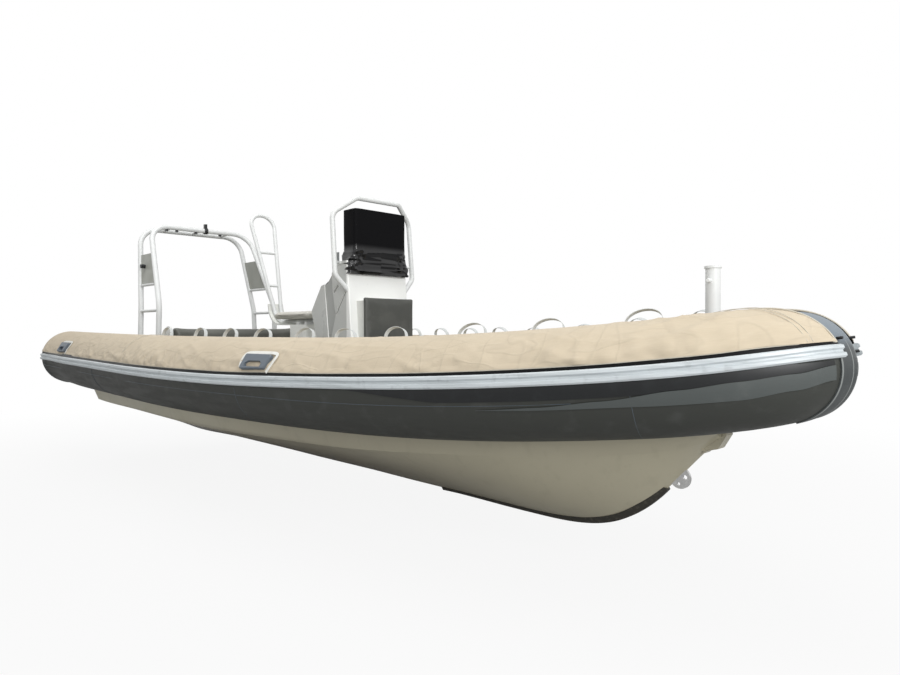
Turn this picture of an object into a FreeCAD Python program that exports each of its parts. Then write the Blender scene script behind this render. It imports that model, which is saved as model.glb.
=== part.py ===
import FreeCAD, Part
import math
import os

os.makedirs("parts", exist_ok=True)
V = FreeCAD.Vector

# The boat is drawn in mm from the foot of its transom: X forward, Y to port, Z up from the keel line.
# Every node is moved at the end so that the origin lies on the waterline, above the keel, amidships.
ORIGIN_X = 2700.0
WATERLINE = 385.0

# Buoyancy tube: straight from the stern, then drawn in to the nose by one Bezier curve in plan.
TUBE_R = 275.0
TUBE_Y = 970.0
TUBE_Z = 713.0
STRAIGHT_END = 1997.0
SIDE_HANDLE = 1186.0
NOSE_HANDLE = 419.0
NOSE_X = 6323.0
SHEER = 167.0
SHEER_START = 3750.0
SHEER_POWER = 2.3
STERN_RISE = 32.0
STERN_RISE_FROM = 3300.0
NOSE_TAPER = 0.109
NOSE_PINCH = 0.105
NOSE_PINCH_Y = 250.0
CONE_START = -690.0
CONE = [(-62.0, 263.0, 5.0), (-116.0, 224.0, 16.0), (-148.0, 168.0, 28.0)]
SPLIT_T = 0.5
STRAIGHT_X = [CONE_START, 0.0, 700.0, 1400.0]
CURVE_T = [0.0, 0.14, 0.27, 0.39, SPLIT_T, 0.61, 0.71, 0.81, 0.91, 1.0]
SEAT_GAP = 0.3

# Skins that lie on the tube, as angles on its section: 0 is outboard, 90 is the crown. The strake is laid
# a little above the widest point, by the angle given for each station, and the others follow it.
STRAKE_LIFT = [3.0, 3.0, 3.0, 3.0, 3.0, 3.0, 3.5, 6.5, 8.5, 9.3, 9.5, 10.5, 14.5, 17.5]
STRAKE_ANGLE = 6.7
STRAKE_T, STRAKE_VALLEY, STRAKE_SHOULDER = 20.0, 11.0, 13.0
SKIN_ROOT = 6.0
SKIN_SLIT = 0.3
TRACK_ANGLE = 12.4
TRACK_T = 7.0
COVER_TO = 108.0
COVER_T = 4.0
STRIP_HALF = 110.0
STRIP_AFT, STRIP_AFT_LOW = 6262.0, 6361.0
STRIP_T = 5.0
WEAR = [(0.70, -20.0, -18.6), (0.75, -21.5, -12.0), (0.81, -22.0, -6.5), (0.86, -21.5, -6.0),
        (0.915, -16.8, -2.8), (0.97, -8.0, 5.0)]
WEAR_T = 2.5

# Hull lines, each as X, value pairs from the transom to the stem.
KEEL_LINE = [(0, 0), (2400, 0), (4500, 0), (5000, 0), (5300, 18), (5480, 66), (5640, 162), (5760, 276),
             (5862, 381), (5962, 474), (6030, 545)]
CHINE_Y = [(0, 895), (1400, 895), (2000, 893), (2566, 867), (3420, 771), (3807, 712), (4156, 655),
           (4726, 545), (5200, 430), (5600, 292), (5862, 165), (6030, 60)]
CHINE_Z = [(0, 340), (1400, 326), (2566, 316), (3420, 319), (4156, 335), (4726, 368), (5200, 402),
           (5600, 442), (5862, 486), (6030, 560)]
HULL_STATIONS = [0.0, 1400.0, 2400.0, 3100.0, 3700.0, 4250.0, 4750.0, 5150.0, 5450.0, 5680.0, 5860.0,
                 6030.0]
BELLY = [(0, 3), (3400, 5), (4250, 16), (4750, 30), (5150, 44), (5450, 44), (5680, 32), (5860, 16),
         (6030, 5)]
CHINE_FADE = [(0, 0), (4250, 0), (4750, 0.4), (5150, 0.8), (5450, 0.9), (6030, 0.9)]
TOPSIDE_DROP = 213.0
DECK_Z = 500.0

# Deck furniture.
DECK_T = 6.0
FAT = 3.0
DECK_HALF = TUBE_Y - TUBE_R - FAT
COAMING_T = 22.0
TRANSOM_T = 62.0
TRANSOM_TOP = 830.0
WELL_Z = 640.0
WELL_HALF = 330.0


def lerp(table, x):
    """Smooth value of a hull line at x, by a cubic through the table's points."""
    pts = sorted(table)
    n = len(pts)
    x = min(max(x, pts[0][0]), pts[-1][0])
    i = max(k for k in range(n - 1) if pts[k][0] <= x)
    x0, y0 = pts[i]
    x1, y1 = pts[i + 1]

    def slope(k):
        if k == 0 or k == n - 1:
            a, b = (0, 1) if k == 0 else (n - 2, n - 1)
            return (pts[b][1] - pts[a][1]) / (pts[b][0] - pts[a][0])
        d0 = (pts[k][1] - pts[k - 1][1]) / (pts[k][0] - pts[k - 1][0])
        d1 = (pts[k + 1][1] - pts[k][1]) / (pts[k + 1][0] - pts[k][0])
        return 0.0 if d0 * d1 <= 0 else 2 * d0 * d1 / (d0 + d1)

    h = x1 - x0
    s = (x - x0) / h
    return ((1 + 2 * s) * (1 - s) ** 2 * y0 + s * (1 - s) ** 2 * h * slope(i)
            + s * s * (3 - 2 * s) * y1 + s * s * (s - 1) * h * slope(i + 1))


def rise(x):
    return min(max((x - SHEER_START) / (NOSE_X - SHEER_START), 0.0), 1.0)


def tube_height(x):
    """Height of the tube's centre: up at the bow by the sheer, and slightly up at the stern."""
    aft = max((STERN_RISE_FROM - x) / STERN_RISE_FROM, 0.0)
    return TUBE_Z + SHEER * rise(x) ** SHEER_POWER + STERN_RISE * aft ** 1.6


def tube_station(x=None, t=None):
    """Centre, outward, up and radius of the starboard tube at x on the straight or t on the curve."""
    if t is None:
        p, d = V(x, -TUBE_Y, 0), V(1, 0, 0)
    else:
        a, b = V(STRAIGHT_END, -TUBE_Y, 0), V(STRAIGHT_END + SIDE_HANDLE, -TUBE_Y, 0)
        c, e = V(NOSE_X, -NOSE_HANDLE, 0), V(NOSE_X, 0, 0)
        p = a * (1 - t) ** 3 + b * (3 * t * (1 - t) ** 2) + c * (3 * t * t * (1 - t)) + e * t ** 3
        d = (b - a) * (3 * (1 - t) ** 2) + (c - b) * (6 * t * (1 - t)) + (e - c) * (3 * t * t)
    p = V(p.x, p.y, tube_height(p.x))
    climb = 0.5 * (tube_height(p.x + 1) - tube_height(p.x - 1)) * d.x if p.x < NOSE_X - 1 else 0.0
    d = V(d.x, d.y, climb).normalize()
    pinch = NOSE_PINCH * max(1 - abs(p.y) / NOSE_PINCH_Y, 0.0) ** 1.5
    out = V(d.y, -d.x, 0).normalize()
    up = out.cross(d)
    if up.z < 0:
        up = up * -1
    return p, out, up, TUBE_R * (1 - NOSE_TAPER * rise(p.x) ** 2) * (1 - pinch)


def turned(station, degrees):
    """The same station with its outward direction turned up round the tube."""
    p, out, up, r = station
    c, s = math.cos(math.radians(degrees)), math.sin(math.radians(degrees))
    return p, out * c + up * s, up * c - out * s, r


SIDE_STATIONS = [tube_station(x=x) for x in STRAIGHT_X] + [tube_station(t=t) for t in CURVE_T]
SKIN_STATIONS = [turned(s, a) for s, a in zip(SIDE_STATIONS, STRAKE_LIFT)]
SPLIT_X = tube_station(t=SPLIT_T)[0].x


def station_at(x):
    if x <= STRAIGHT_END:
        return tube_station(x=x)
    lo, hi = 0.0, 1.0
    for _ in range(40):
        mid = 0.5 * (lo + hi)
        lo, hi = (mid, hi) if tube_station(t=mid)[0].x < x else (lo, mid)
    return tube_station(t=lo)


def placed(edges, station):
    p, out, up, r = station
    w = Part.Wire(edges)
    w.Placement = FreeCAD.Placement(p, FreeCAD.Rotation(out, up, out.cross(up), "XYZ"))
    return w


def circle(grow=0.0):
    return lambda r: [Part.Circle(V(0, 0, 0), V(0, 0, 1), r + grow).toShape()]


def sector(a0, a1, inner, outer):
    """Slice of a ring from angle a0 to a1, from inner to outer above the tube's skin."""
    def edges(r):
        ri, ro = r + inner, r + outer
        at = lambda q, a: V(q * math.cos(math.radians(a)), q * math.sin(math.radians(a)), 0)
        m = 0.5 * (a0 + a1)
        return [Part.Arc(at(ro, a0), at(ro, m), at(ro, a1)).toShape(),
                Part.LineSegment(at(ro, a1), at(ri, a1)).toShape(),
                Part.Arc(at(ri, a1), at(ri, m), at(ri, a0)).toShape(),
                Part.LineSegment(at(ri, a0), at(ro, a0)).toShape()]
    return edges


def ribbed(half, root, shoulder, crest, valley):
    """Strake section: two ribs with a groove between them."""
    def edges(r):
        at = lambda a, h: V((r + h) * math.cos(math.radians(a)), (r + h) * math.sin(math.radians(a)), 0)
        rib = [(0.96, shoulder), (0.74, crest), (0.34, crest), (0.14, valley)]
        line = [at(half, -root)] + [at(half * a, h) for a, h in rib]
        line += [at(-half * a, h) for a, h in rib[::-1]] + [at(-half, -root)]
        return ([Part.LineSegment(u, w).toShape() for u, w in zip(line, line[1:])]
                + [Part.Arc(at(-half, -root), at(0, -root), at(half, -root)).toShape()])
    return edges


def along(stations, profile):
    return Part.makeLoft([placed(profile(s[3]), s) for s in stations], True, False)


def port(shape):
    return shape.mirror(V(0, 0, 0), V(0, 1, 0))


def box(x0, x1, y0, y1, z0, z1):
    return Part.makeBox(x1 - x0, y1 - y0, z1 - z0, V(x0, y0, z0))


def plate(points, axis, lo, hi):
    """Flat outline pulled along an axis; points are the other two coordinates in X, Y, Z order."""
    make = {"X": lambda a, b: V(lo, a, b), "Y": lambda a, b: V(a, lo, b),
            "Z": lambda a, b: V(a, b, lo)}[axis]
    face = Part.Face(Part.makePolygon([make(*q) for q in points + points[:1]]))
    return face.extrude({"X": V(hi - lo, 0, 0), "Y": V(0, hi - lo, 0), "Z": V(0, 0, hi - lo)}[axis])


def soft(shape, radius, keep=lambda e: True):
    return shape.makeFillet(radius, [e for e in shape.Edges if keep(e)])


def bent_tube(points, bends, r):
    """Round tube along straight runs with a bend radius at each inner point."""
    edges, last = [], points[0]
    for i in range(1, len(points) - 1):
        a, b, c = points[i - 1], points[i], points[i + 1]
        u, w = (a - b).normalize(), (c - b).normalize()
        half = 0.5 * u.getAngle(w)
        q = bends[i - 1]
        cut = q / math.tan(half)
        p0, p1 = b + u * cut, b + w * cut
        m = b + (u + w).normalize() * (q / math.sin(half) - q)
        if (p0 - last).Length > 1e-3:
            edges.append(Part.LineSegment(last, p0).toShape())
        edges.append(Part.Arc(p0, m, p1).toShape())
        last = p1
    edges.append(Part.LineSegment(last, points[-1]).toShape())
    path = Part.Wire(edges)
    ring = Part.Wire([Part.Circle(points[0], points[1] - points[0], r).toShape()])
    return path.makePipeShell([ring], True, False)


def rod(a, b, r):
    return Part.makeCylinder(r, (b - a).Length, a, b - a)


NODES = {}


def put(name, *shapes):
    body = shapes[0] if len(shapes) == 1 else Part.makeCompound(list(shapes))
    NODES[name] = body


# Tubes, in three chambers, with their stern cones.
side_tube = along(SIDE_STATIONS, circle())
ahead_of_split = box(SPLIT_X, 7000, -1500, 1500, -200, 2000)
tube_sb = side_tube.cut(ahead_of_split)
MEET = 8.0
bow_half = side_tube.common(ahead_of_split).cut(box(5000, 7000, -MEET, 1500, -200, 2000))
meet_face = max([f for f in bow_half.Faces if abs(f.CenterOfMass.y + MEET) < 0.01], key=lambda f: f.Area)
bow_tube = bow_half.fuse([meet_face.extrude(V(0, 2 * MEET, 0)), port(bow_half)]).removeSplitter()

p, out, up, r = SIDE_STATIONS[0]
cone_sections = [SIDE_STATIONS[0]] + [(V(CONE_START + x, p.y, p.z + lift), out, up, q)
                                      for x, q, lift in CONE]
cone_sb = along(cone_sections, circle())
cone_sb = soft(cone_sb, 60.0, lambda e: abs(e.CenterOfMass.x - CONE_START - CONE[-1][0]) < 5.0
               and e.Length > 600)

POST_X = 5975.0
POST_R = 33.0
POST_CLEAR = 6.0
post_way = Part.makeCylinder(POST_R + POST_CLEAR, 900.0, V(POST_X, 0, 600.0))
bow_tube = bow_tube.cut(post_way)
chamber = tube_sb.fuse(cone_sb).removeSplitter()
put("tube_starboard", chamber)
put("tube_port", port(chamber))
put("tube_bow", bow_tube)

# Skins on the tube: ribbed rubbing strake, lacing track, cover, nose strip and the bow's wear patches. Each
# is lofted from a little inside the tube and then cut to the tube's own surface, less the seat gap.
PAST = 7000.0
on_tube = along(SIDE_STATIONS, circle(SEAT_GAP))
strake = along(SKIN_STATIONS, ribbed(STRAKE_ANGLE, SKIN_ROOT, STRAKE_SHOULDER, STRAKE_T, STRAKE_VALLEY))
track = along(SKIN_STATIONS, sector(STRAKE_ANGLE + 0.5 * SKIN_SLIT, TRACK_ANGLE, -SKIN_ROOT, TRACK_T))
cover = along(SKIN_STATIONS, sector(TRACK_ANGLE + SKIN_SLIT, COVER_TO, -SKIN_ROOT, COVER_T))
strip = along(SIDE_STATIONS, circle(STRIP_T))
nose_z = SIDE_STATIONS[-1][0].z
wear_at = [(tube_station(t=t), a0, a1) for t, a0, a1 in WEAR]
wear = Part.makeLoft([placed(sector(a0, a1, -SKIN_ROOT, WEAR_T)(q[3]), q) for q, a0, a1 in wear_at],
                     True, False)
short_of_strip = box(5000, PAST, -STRIP_HALF - SEAT_GAP, 1500, -200, 2000)
on_strip = plate([(STRIP_AFT, 2000), (PAST, 2000), (PAST, -200), (STRIP_AFT_LOW, -200),
                  (STRIP_AFT_LOW, nose_z), (STRIP_AFT, nose_z)], "Y", -STRIP_HALF, -SEAT_GAP)
strake, track, cover, wear = [q.cut(short_of_strip).cut(on_tube) for q in (strake, track, cover, wear)]
strip = strip.common(on_strip).cut(on_tube).cut(bow_tube)
strake, track, cover, wear, strip = [max(q.Solids, key=lambda k: k.Volume)
                                     for q in (strake, track, cover, wear, strip)]
put("strake_starboard", strake)
put("strake_port", port(strake))
put("cover_track", track, port(track))
put("cover_starboard", cover)
put("cover_port", port(cover))
put("nose_patch", strip, port(strip))
put("bow_wear", wear, port(wear))

# Deep V hull, solid up to the deck, with a seat for the tubes cut along its edge.


def bezier(*poles):
    curve = Part.BezierCurve()
    curve.setPoles(list(poles))
    return curve.toShape()


def hull_section(x):
    """Keel, swollen bottom, chine and topside on both sides; the chine fades into the bow."""
    keel, cy, cz = lerp(KEEL_LINE, x), lerp(CHINE_Y, x), lerp(CHINE_Z, x)
    c = station_at(x)[0]
    sy, sz = max(-c.y, cy + 12.0), c.z - TOPSIDE_DROP
    foot, chine, top = V(x, 0, keel), V(x, -cy, cz), V(x, -sy, sz)
    slope = chine - foot
    away = V(0, slope.z, -slope.y).normalize()
    away = away if away.z < 0 else away * -1
    carried_on = chine + (chine - top).normalize() * (0.5 * slope.Length)
    fade = lerp(CHINE_FADE, x) * (carried_on - foot).dot(away)
    belly = (foot + chine) * 0.5 + away * max(lerp(BELLY, x), fade)
    flip = lambda q: V(q.x, -q.y, q.z)
    return Part.Wire([bezier(foot, belly, chine), bezier(chine, top), bezier(top, flip(top)),
                      bezier(flip(top), flip(chine)), bezier(flip(chine), flip(belly), foot)])


hull = Part.makeLoft([hull_section(x) for x in HULL_STATIONS], True, False)
STEM_LEDGE = [(5945, 465), (5964, 481), (6014, 495), (6052, 560), (6040, 640), (5940, 640)]
STEM_HALF = 36.0
hull = hull.fuse(plate(STEM_LEDGE, "Y", -STEM_HALF, STEM_HALF))
for solid in (tube_sb, port(tube_sb), bow_tube):
    hull = hull.cut(solid)
FORE_X0 = 4600.0
hull = hull.cut(box(-10, FORE_X0, -1500, 1500, DECK_Z, 1500))
hull = max(hull.Solids, key=lambda s: s.Volume)

# Keel guard round the forefoot and the drilled eye plate on the stem.
guard_pts = [V(x, 0, lerp(KEEL_LINE, x)) for x in (4200, 4700, 5000, 5300, 5480, 5640, 5755)]
guard_path = Part.BSplineCurve()
guard_path.interpolate(guard_pts)
GUARD_HALF, GUARD_FLAT, GUARD_DEEP, GUARD_UP = 36.0, 14.0, 12.0, 24.0
first = V(guard_pts[0].x, 0, guard_pts[0].z)
guard_ring = Part.makePolygon([first + V(0, a, b) for a, b in
                               [(-GUARD_HALF, GUARD_UP), (-GUARD_FLAT, -GUARD_DEEP),
                                (GUARD_FLAT, -GUARD_DEEP), (GUARD_HALF, GUARD_UP), (-GUARD_HALF, GUARD_UP)]])
guard = Part.Wire([guard_path.toShape()]).makePipeShell([guard_ring], True, False).cut(hull)
guard = max(guard.Solids, key=lambda s: s.Volume)
EYE = (5832.0, 330.0)
EYE_R, EYE_T, EYE_BORE, EYE_BORE_2 = 52.0, 14.0, 11.0, 8.0
EYE_2 = (EYE[0] - 18.0, EYE[1] - 30.0)
eye_pl = Part.makeCylinder(EYE_R, EYE_T, V(EYE[0] - 12, -EYE_T / 2, EYE[1]), V(0, 1, 0))
BORE_AT = (EYE[0] + 14.0, EYE[1] + 6.0)
for (bx, bz), br in ((BORE_AT, EYE_BORE), (EYE_2, EYE_BORE_2)):
    eye_pl = eye_pl.cut(Part.makeCylinder(br, EYE_T + 2, V(bx, -EYE_T / 2 - 1, bz), V(0, 1, 0)))
eye_pl = eye_pl.cut(hull).cut(guard)
eye_pl = max(eye_pl.Solids, key=lambda s: s.Volume)
put("hull", hull)
put("keel_guard", guard)
put("tow_eye", eye_pl)

# Cockpit: non-slip deck panel, coamings against the tubes, transom board with the outboard's notch.
deck = box(TRANSOM_T, FORE_X0, -DECK_HALF, DECK_HALF, DECK_Z, DECK_Z + DECK_T)
fat_side = along(SIDE_STATIONS, circle(FAT))
side_tubes = [fat_side, port(fat_side)]
for solid in side_tubes:
    deck = deck.cut(solid)
put("deck_panel", max(deck.Solids, key=lambda s: s.Volume))

transom = plate([(-DECK_HALF, DECK_Z), (DECK_HALF, DECK_Z), (DECK_HALF, TRANSOM_TOP),
                 (WELL_HALF + 60, TRANSOM_TOP), (WELL_HALF, WELL_Z), (-WELL_HALF, WELL_Z),
                 (-WELL_HALF - 60, TRANSOM_TOP), (-DECK_HALF, TRANSOM_TOP)], "X", 0.0, TRANSOM_T)
for solid in side_tubes:
    transom = transom.cut(solid)
put("transom_board", transom)

coaming_stations = [tube_station(x=TRANSOM_T)] + SIDE_STATIONS[2:8]
board = lambda r: Part.makePolygon([V(-r - a, b, 0) for a, b in
                                    [(COAMING_T + FAT, DECK_Z - TUBE_Z - 90), (FAT, DECK_Z - TUBE_Z - 90),
                                     (FAT, -15), (COAMING_T + FAT, -15),
                                     (COAMING_T + FAT, DECK_Z - TUBE_Z - 90)]]).Edges
coaming = along(coaming_stations, board).cut(box(-10, PAST, -1500, 1500, 0, DECK_Z + DECK_T)).cut(transom)
put("coamings", coaming, port(coaming))

# Foredeck with its open locker, and the locker's lid on a hinge at the front.
FORE_X1, FORE_Z = 5900.0, 790.0
WALL = 30.0
LOCKER = (4680.0, 5160.0, 190.0)
LID_T, LID_LIP = 24.0, 18.0
LID_GAP = 6.0
rim = [tube_station(t=0.40 + 0.05 * k)[0] for k in range(9)]
rim = [(q.x, q.y) for q in rim]
rim = rim + [(x, -y) for x, y in reversed(rim)]
fore = plate(rim, "Z", DECK_Z - 40, FORE_Z).common(box(FORE_X0, FORE_X1, -900, 900, 0, 2000))
for solid in side_tubes:
    fore = fore.cut(solid)
fore = max(fore.Solids, key=lambda s: s.Volume)
fore = fore.cut(hull)
fore = max(fore.Solids, key=lambda s: s.Volume)
lx0, lx1, ly = LOCKER
fore = fore.cut(box(lx0, lx1, -ly, ly, DECK_Z + 30, FORE_Z + 10))
put("foredeck", fore)
LID_Z = FORE_Z + LID_GAP
lid = box(lx0 - LID_LIP, lx1 + LID_LIP, -ly - LID_LIP, ly + LID_LIP, LID_Z, LID_Z + LID_T)
lid = soft(lid, 40.0, lambda e: abs(e.tangentAt(e.FirstParameter).z) > 0.9)
lid = soft(lid, 6.0, lambda e: e.CenterOfMass.z > LID_Z + LID_T - 1)
PIN = V(lx1 + LID_LIP + 16.0, 0, LID_Z + 10.0)
PIN_R, PIN_FIT, BARREL_R, BARREL_W, EAR_T = 4.0, 0.05, 10.0, 44.0, 8.0
hinges = []
for y in (-110.0, 110.0):
    at = V(PIN.x, y - BARREL_W / 2, PIN.z)
    leaf = box(PIN.x - 40, PIN.x, y - BARREL_W / 2, y + BARREL_W / 2, PIN.z - 4, PIN.z + 4)
    barrel = Part.makeCylinder(BARREL_R, BARREL_W, at, V(0, 1, 0))
    lid = lid.fuse(leaf).fuse(barrel)
    lid = lid.cut(Part.makeCylinder(PIN_R + PIN_FIT, BARREL_W + 2, at - V(0, 1, 0), V(0, 1, 0)))
    ears = Part.makeCylinder(PIN_R, BARREL_W + 4, V(PIN.x, y - BARREL_W / 2 - 2, PIN.z), V(0, 1, 0))
    for y0 in (y - BARREL_W / 2 - 2 - EAR_T, y + BARREL_W / 2 + 2):
        ears = ears.fuse(box(PIN.x - 9, PIN.x + 9, y0, y0 + EAR_T, FORE_Z, PIN.z + 9))
    hinges.append(ears)
put("locker_lid", lid)
put("locker_hinges", *hinges)

# Bow post with its cap flange and the stub that a line is made fast on.
POST_TOP, CAP_T, CAP_OUT = 1323.0, 10.0, 5.0
STUB_Z, STUB_R, STUB_OUT = 1255.0, 10.0, 22.0
post = Part.makeCylinder(POST_R, POST_TOP - DECK_Z, V(POST_X, 0, DECK_Z)).cut(hull)
post = max(post.Solids, key=lambda s: s.Volume)
post = post.fuse(Part.makeCylinder(POST_R + CAP_OUT, CAP_T, V(POST_X, 0, POST_TOP - CAP_T)))
stub = soft(rod(V(POST_X, 0, STUB_Z), V(POST_X, -POST_R - STUB_OUT, STUB_Z), STUB_R), 4.0,
            lambda e: e.CenterOfMass.y < -POST_R)
put("bow_post", post.fuse(stub).removeSplitter())

# Console shell drawn by its side profile, with the pressed-in lines of its sides, the covered screen box,
# the ends of the screen and the rail round it.
CON_HALF = 268.0
CON_FOOT_X, CON_TOP_X, CON_TOP_Z = 3582.0, 3494.0, 1530.0
DASH_LOW, DASH_HIGH = (3031.0, 1178.0), (3167.0, 1367.0)
PRESS = 9.0
profile = [(3085, DECK_Z + DECK_T), (3100, 978), DASH_LOW, DASH_HIGH, (3235, 1378), (3327, 1474),
           (3400, CON_TOP_Z), (CON_TOP_X, CON_TOP_Z), (CON_FOOT_X, DECK_Z + DECK_T)]
console = plate(profile, "Y", -CON_HALF, CON_HALF)
console = soft(console, 22.0, lambda e: abs(e.tangentAt(e.FirstParameter).y) > 0.9
               and e.CenterOfMass.z > 900 and e.CenterOfMass.x < 3250)
console = soft(console, 10.0, lambda e: abs(e.tangentAt(e.FirstParameter).y) < 0.1
               and e.CenterOfMass.x > 3500)
pressed = [[(3206, 1370), (3240, 1420), (3300, 1500), (3314, 1323), (3340, 1194), (3354, 1149),
            (3265, 905)],
           [(3349, 1154), (3473, 1320), (3486, 1311), (3362, 1145)],
           [(3322, 1311), (3379, 1365), (3390, 1354), (3333, 1300)]]
for outline in pressed:
    for lo, hi in ((-CON_HALF - 1, -CON_HALF + PRESS), (CON_HALF - PRESS, CON_HALF + 1)):
        console = console.cut(plate(outline, "Y", lo, hi))
put("console", console)


def front_x(z):
    return CON_TOP_X + (CON_TOP_Z - z) * (CON_FOOT_X - CON_TOP_X) / (CON_TOP_Z - DECK_Z - DECK_T)


def slab_at(z, x0, x1, w):
    return Part.makePolygon([V(x0, -w, z), V(x1, -w, z), V(x1, w, z), V(x0, w, z), V(x0, -w, z)])


SCREEN_HALF, SCREEN_TOP, SKIRT_Z, SKIRT_TOP = 212.0, 1905.0, 1438.0, 1600.0
SCREEN_AFT, SCREEN_FRONT, SKIRT_WIDER = 3381.0, 3520.0, 22.0
upper = Part.makeLoft([slab_at(SKIRT_TOP - 20, SCREEN_AFT, SCREEN_FRONT - 1, SCREEN_HALF + 4),
                       slab_at(SCREEN_TOP, SCREEN_AFT, SCREEN_FRONT, SCREEN_HALF)], True, True)
upper = soft(upper, 14.0, lambda e: e.CenterOfMass.z > SKIRT_TOP)
skirt = Part.makeLoft([slab_at(SKIRT_Z, 3440, 3512, CON_HALF + 6),
                       slab_at(SKIRT_TOP, 3384, 3517, SCREEN_HALF + SKIRT_WIDER)], True, True)
console_edge, con_side = 1300.0, CON_HALF + SEAT_GAP
on_console = plate([(3300, console_edge), (3300, CON_TOP_Z + SEAT_GAP),
                    (CON_TOP_X + SEAT_GAP, CON_TOP_Z + SEAT_GAP),
                    (front_x(console_edge) + SEAT_GAP, console_edge)], "Y", -con_side, con_side)
screen = upper.fuse(skirt).cut(on_console).removeSplitter()
put("screen_cover", max(screen.Solids, key=lambda s: s.Volume))
WING_X, WING_Z, WING_T = (3345.0, 3380.0), (1500.0, 1598.0), 5.0
wing = box(WING_X[0], WING_X[1], -CON_HALF + 10, -CON_HALF + 10 + WING_T, WING_Z[0], WING_Z[1]).cut(console)
wing = max(wing.Solids, key=lambda s: s.Volume)
put("windscreen_ends", wing, port(wing))
RAIL_R = 18.0
half_rail = [V(3490, -250, 1312), V(3475, -355, 1425), V(3437, -352, 1862), V(3508, -190, 1977)]
rail = bent_tube(half_rail + [V(q.x, -q.y, q.z) for q in reversed(half_rail)],
                 [60.0, 80.0, 45.0, 45.0, 80.0, 60.0], RAIL_R)
for side in (-1, 1):
    rail = rail.fuse(rod(V(3466, side * 352, 1520), V(3400, side * 245, 1514), 9.0))
rail = rail.cut(console).cut(screen)
put("console_rail", max(rail.Solids, key=lambda s: s.Volume))

# Steering wheel on the sloping dash, free to turn on its shaft, and the throttle on the flat above.
face_low, face_high = V(DASH_LOW[0], 0, DASH_LOW[1]), V(DASH_HIGH[0], 0, DASH_HIGH[1])
face_mid = (face_low + face_high) * 0.5
face_dir = (face_high - face_low).normalize()
axis = V(-face_dir.z, 0, face_dir.x)
WHEEL_R, RIM_R = 165.0, 12.0
HUB_OFF = 92.0
centre = face_mid + axis * HUB_OFF
wheel = Part.makeTorus(WHEEL_R, RIM_R, centre, axis)
wheel = wheel.fuse(Part.makeCylinder(34.0, 26.0, centre - axis * 13.0, axis))
side = V(0, 1, 0)
for k in range(3):
    ang = math.radians(90 + 120 * k)
    tip = centre + (side * math.cos(ang) + face_dir * math.sin(ang)) * WHEEL_R
    wheel = wheel.fuse(rod(centre, tip, 8.0))
SHAFT_R, SHAFT_FIT, HUB_GAP = 10.0, 0.08, 5.0
wheel = wheel.cut(Part.makeCylinder(SHAFT_R + SHAFT_FIT, 22.0, centre - axis * 14.0, axis))
put("steering_wheel", wheel.removeSplitter())
boss = Part.makeCylinder(30.0, HUB_OFF - 13.0 - HUB_GAP, face_mid, axis)
boss = boss.fuse(Part.makeCylinder(SHAFT_R, HUB_OFF + 5.0, face_mid, axis)).removeSplitter()
put("wheel_boss", boss)
throttle = soft(box(3176, 3226, 150, 230, 1340, 1414), 8.0, lambda e: e.CenterOfMass.z > 1400).cut(console)
throttle = max(throttle.Solids, key=lambda s: s.Volume)
throttle = throttle.fuse(rod(V(3200, 190, 1400), V(3165, 190, 1490), 8.0))
throttle = throttle.fuse(Part.makeSphere(15.0, V(3165, 190, 1490))).removeSplitter()
put("throttle", throttle)

# Seat on the front of the console: moulded base with a raised back, and its two cushions.
BACK_X, BACK_TOP, BACK_HALF = 3608.0, 1245.0, 205.0
SEAT_END, SEAT_HALF, SEAT_Z, SEAT_PAD = 4000.0, 225.0, 840.0, 100.0
base = box(3480, BACK_X, -BACK_HALF, BACK_HALF, DECK_Z + DECK_T, BACK_TOP)
base = base.fuse(box(3480, SEAT_END, -SEAT_HALF, SEAT_HALF, DECK_Z + DECK_T, SEAT_Z)).cut(console)
base = max(base.Solids, key=lambda s: s.Volume).removeSplitter()
put("front_seat_box", base)
front_seat = soft(box(BACK_X + SEAT_GAP, SEAT_END + 6, -SEAT_HALF + 2, SEAT_HALF - 2, SEAT_Z + SEAT_GAP,
                      SEAT_Z + SEAT_PAD), 20.0)
put("front_seat_cushion", front_seat)
back = box(BACK_X + SEAT_GAP, BACK_X + 40, -216, 216, SEAT_Z + SEAT_PAD + SEAT_GAP, BACK_TOP + 18)
put("front_back_cushion", soft(back, 14.0))

# Helm seat: moulded pod, cushion, and the narrow frame whose two tubes spread into a tall loop, with the pan
# that follows their bend.
POD_X0, POD_X1, POD_HALF, POD_TOP = 2475.0, 2720.0, 140.0, 1085.0
put("helm_pod", soft(box(POD_X0, POD_X1, -POD_HALF, POD_HALF, DECK_Z + DECK_T, POD_TOP), 36.0,
                     lambda e: abs(e.tangentAt(e.FirstParameter).z) > 0.9))
FRAME_R, SEAT_RAIL_Z = 17.0, 1115.0
LOOP_TOP, LOOP_HALF, RAIL_HALF = (1758.0, 2100.0), 125.0, 22.0
BEND_X, HELM_FRONT, HELM_BEND_R = 2086.0, 2690.0, 150.0
half = [V(HELM_FRONT, -RAIL_HALF, SEAT_RAIL_Z), V(BEND_X, -RAIL_HALF, SEAT_RAIL_Z),
        V(LOOP_TOP[0], -LOOP_HALF, LOOP_TOP[1])]
frame = bent_tube(half + [V(q.x, -q.y, q.z) for q in reversed(half)],
                  [HELM_BEND_R, 110.0, 110.0, HELM_BEND_R], FRAME_R)
for z in (1745.0, 1440.0):
    k = (z - SEAT_RAIL_Z) / (LOOP_TOP[1] - SEAT_RAIL_Z)
    x, w = BEND_X + (LOOP_TOP[0] - BEND_X) * k, RAIL_HALF + (LOOP_HALF - RAIL_HALF) * k
    frame = frame.fuse(rod(V(x, -w, z), V(x, w, z), 12.0))
for x in (POD_X0 + 60, POD_X1 - 60):
    frame = frame.fuse(box(x - 20, x + 20, -90, 90, POD_TOP, SEAT_RAIL_Z - 8))
put("helm_frame", frame.removeSplitter())
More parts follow.
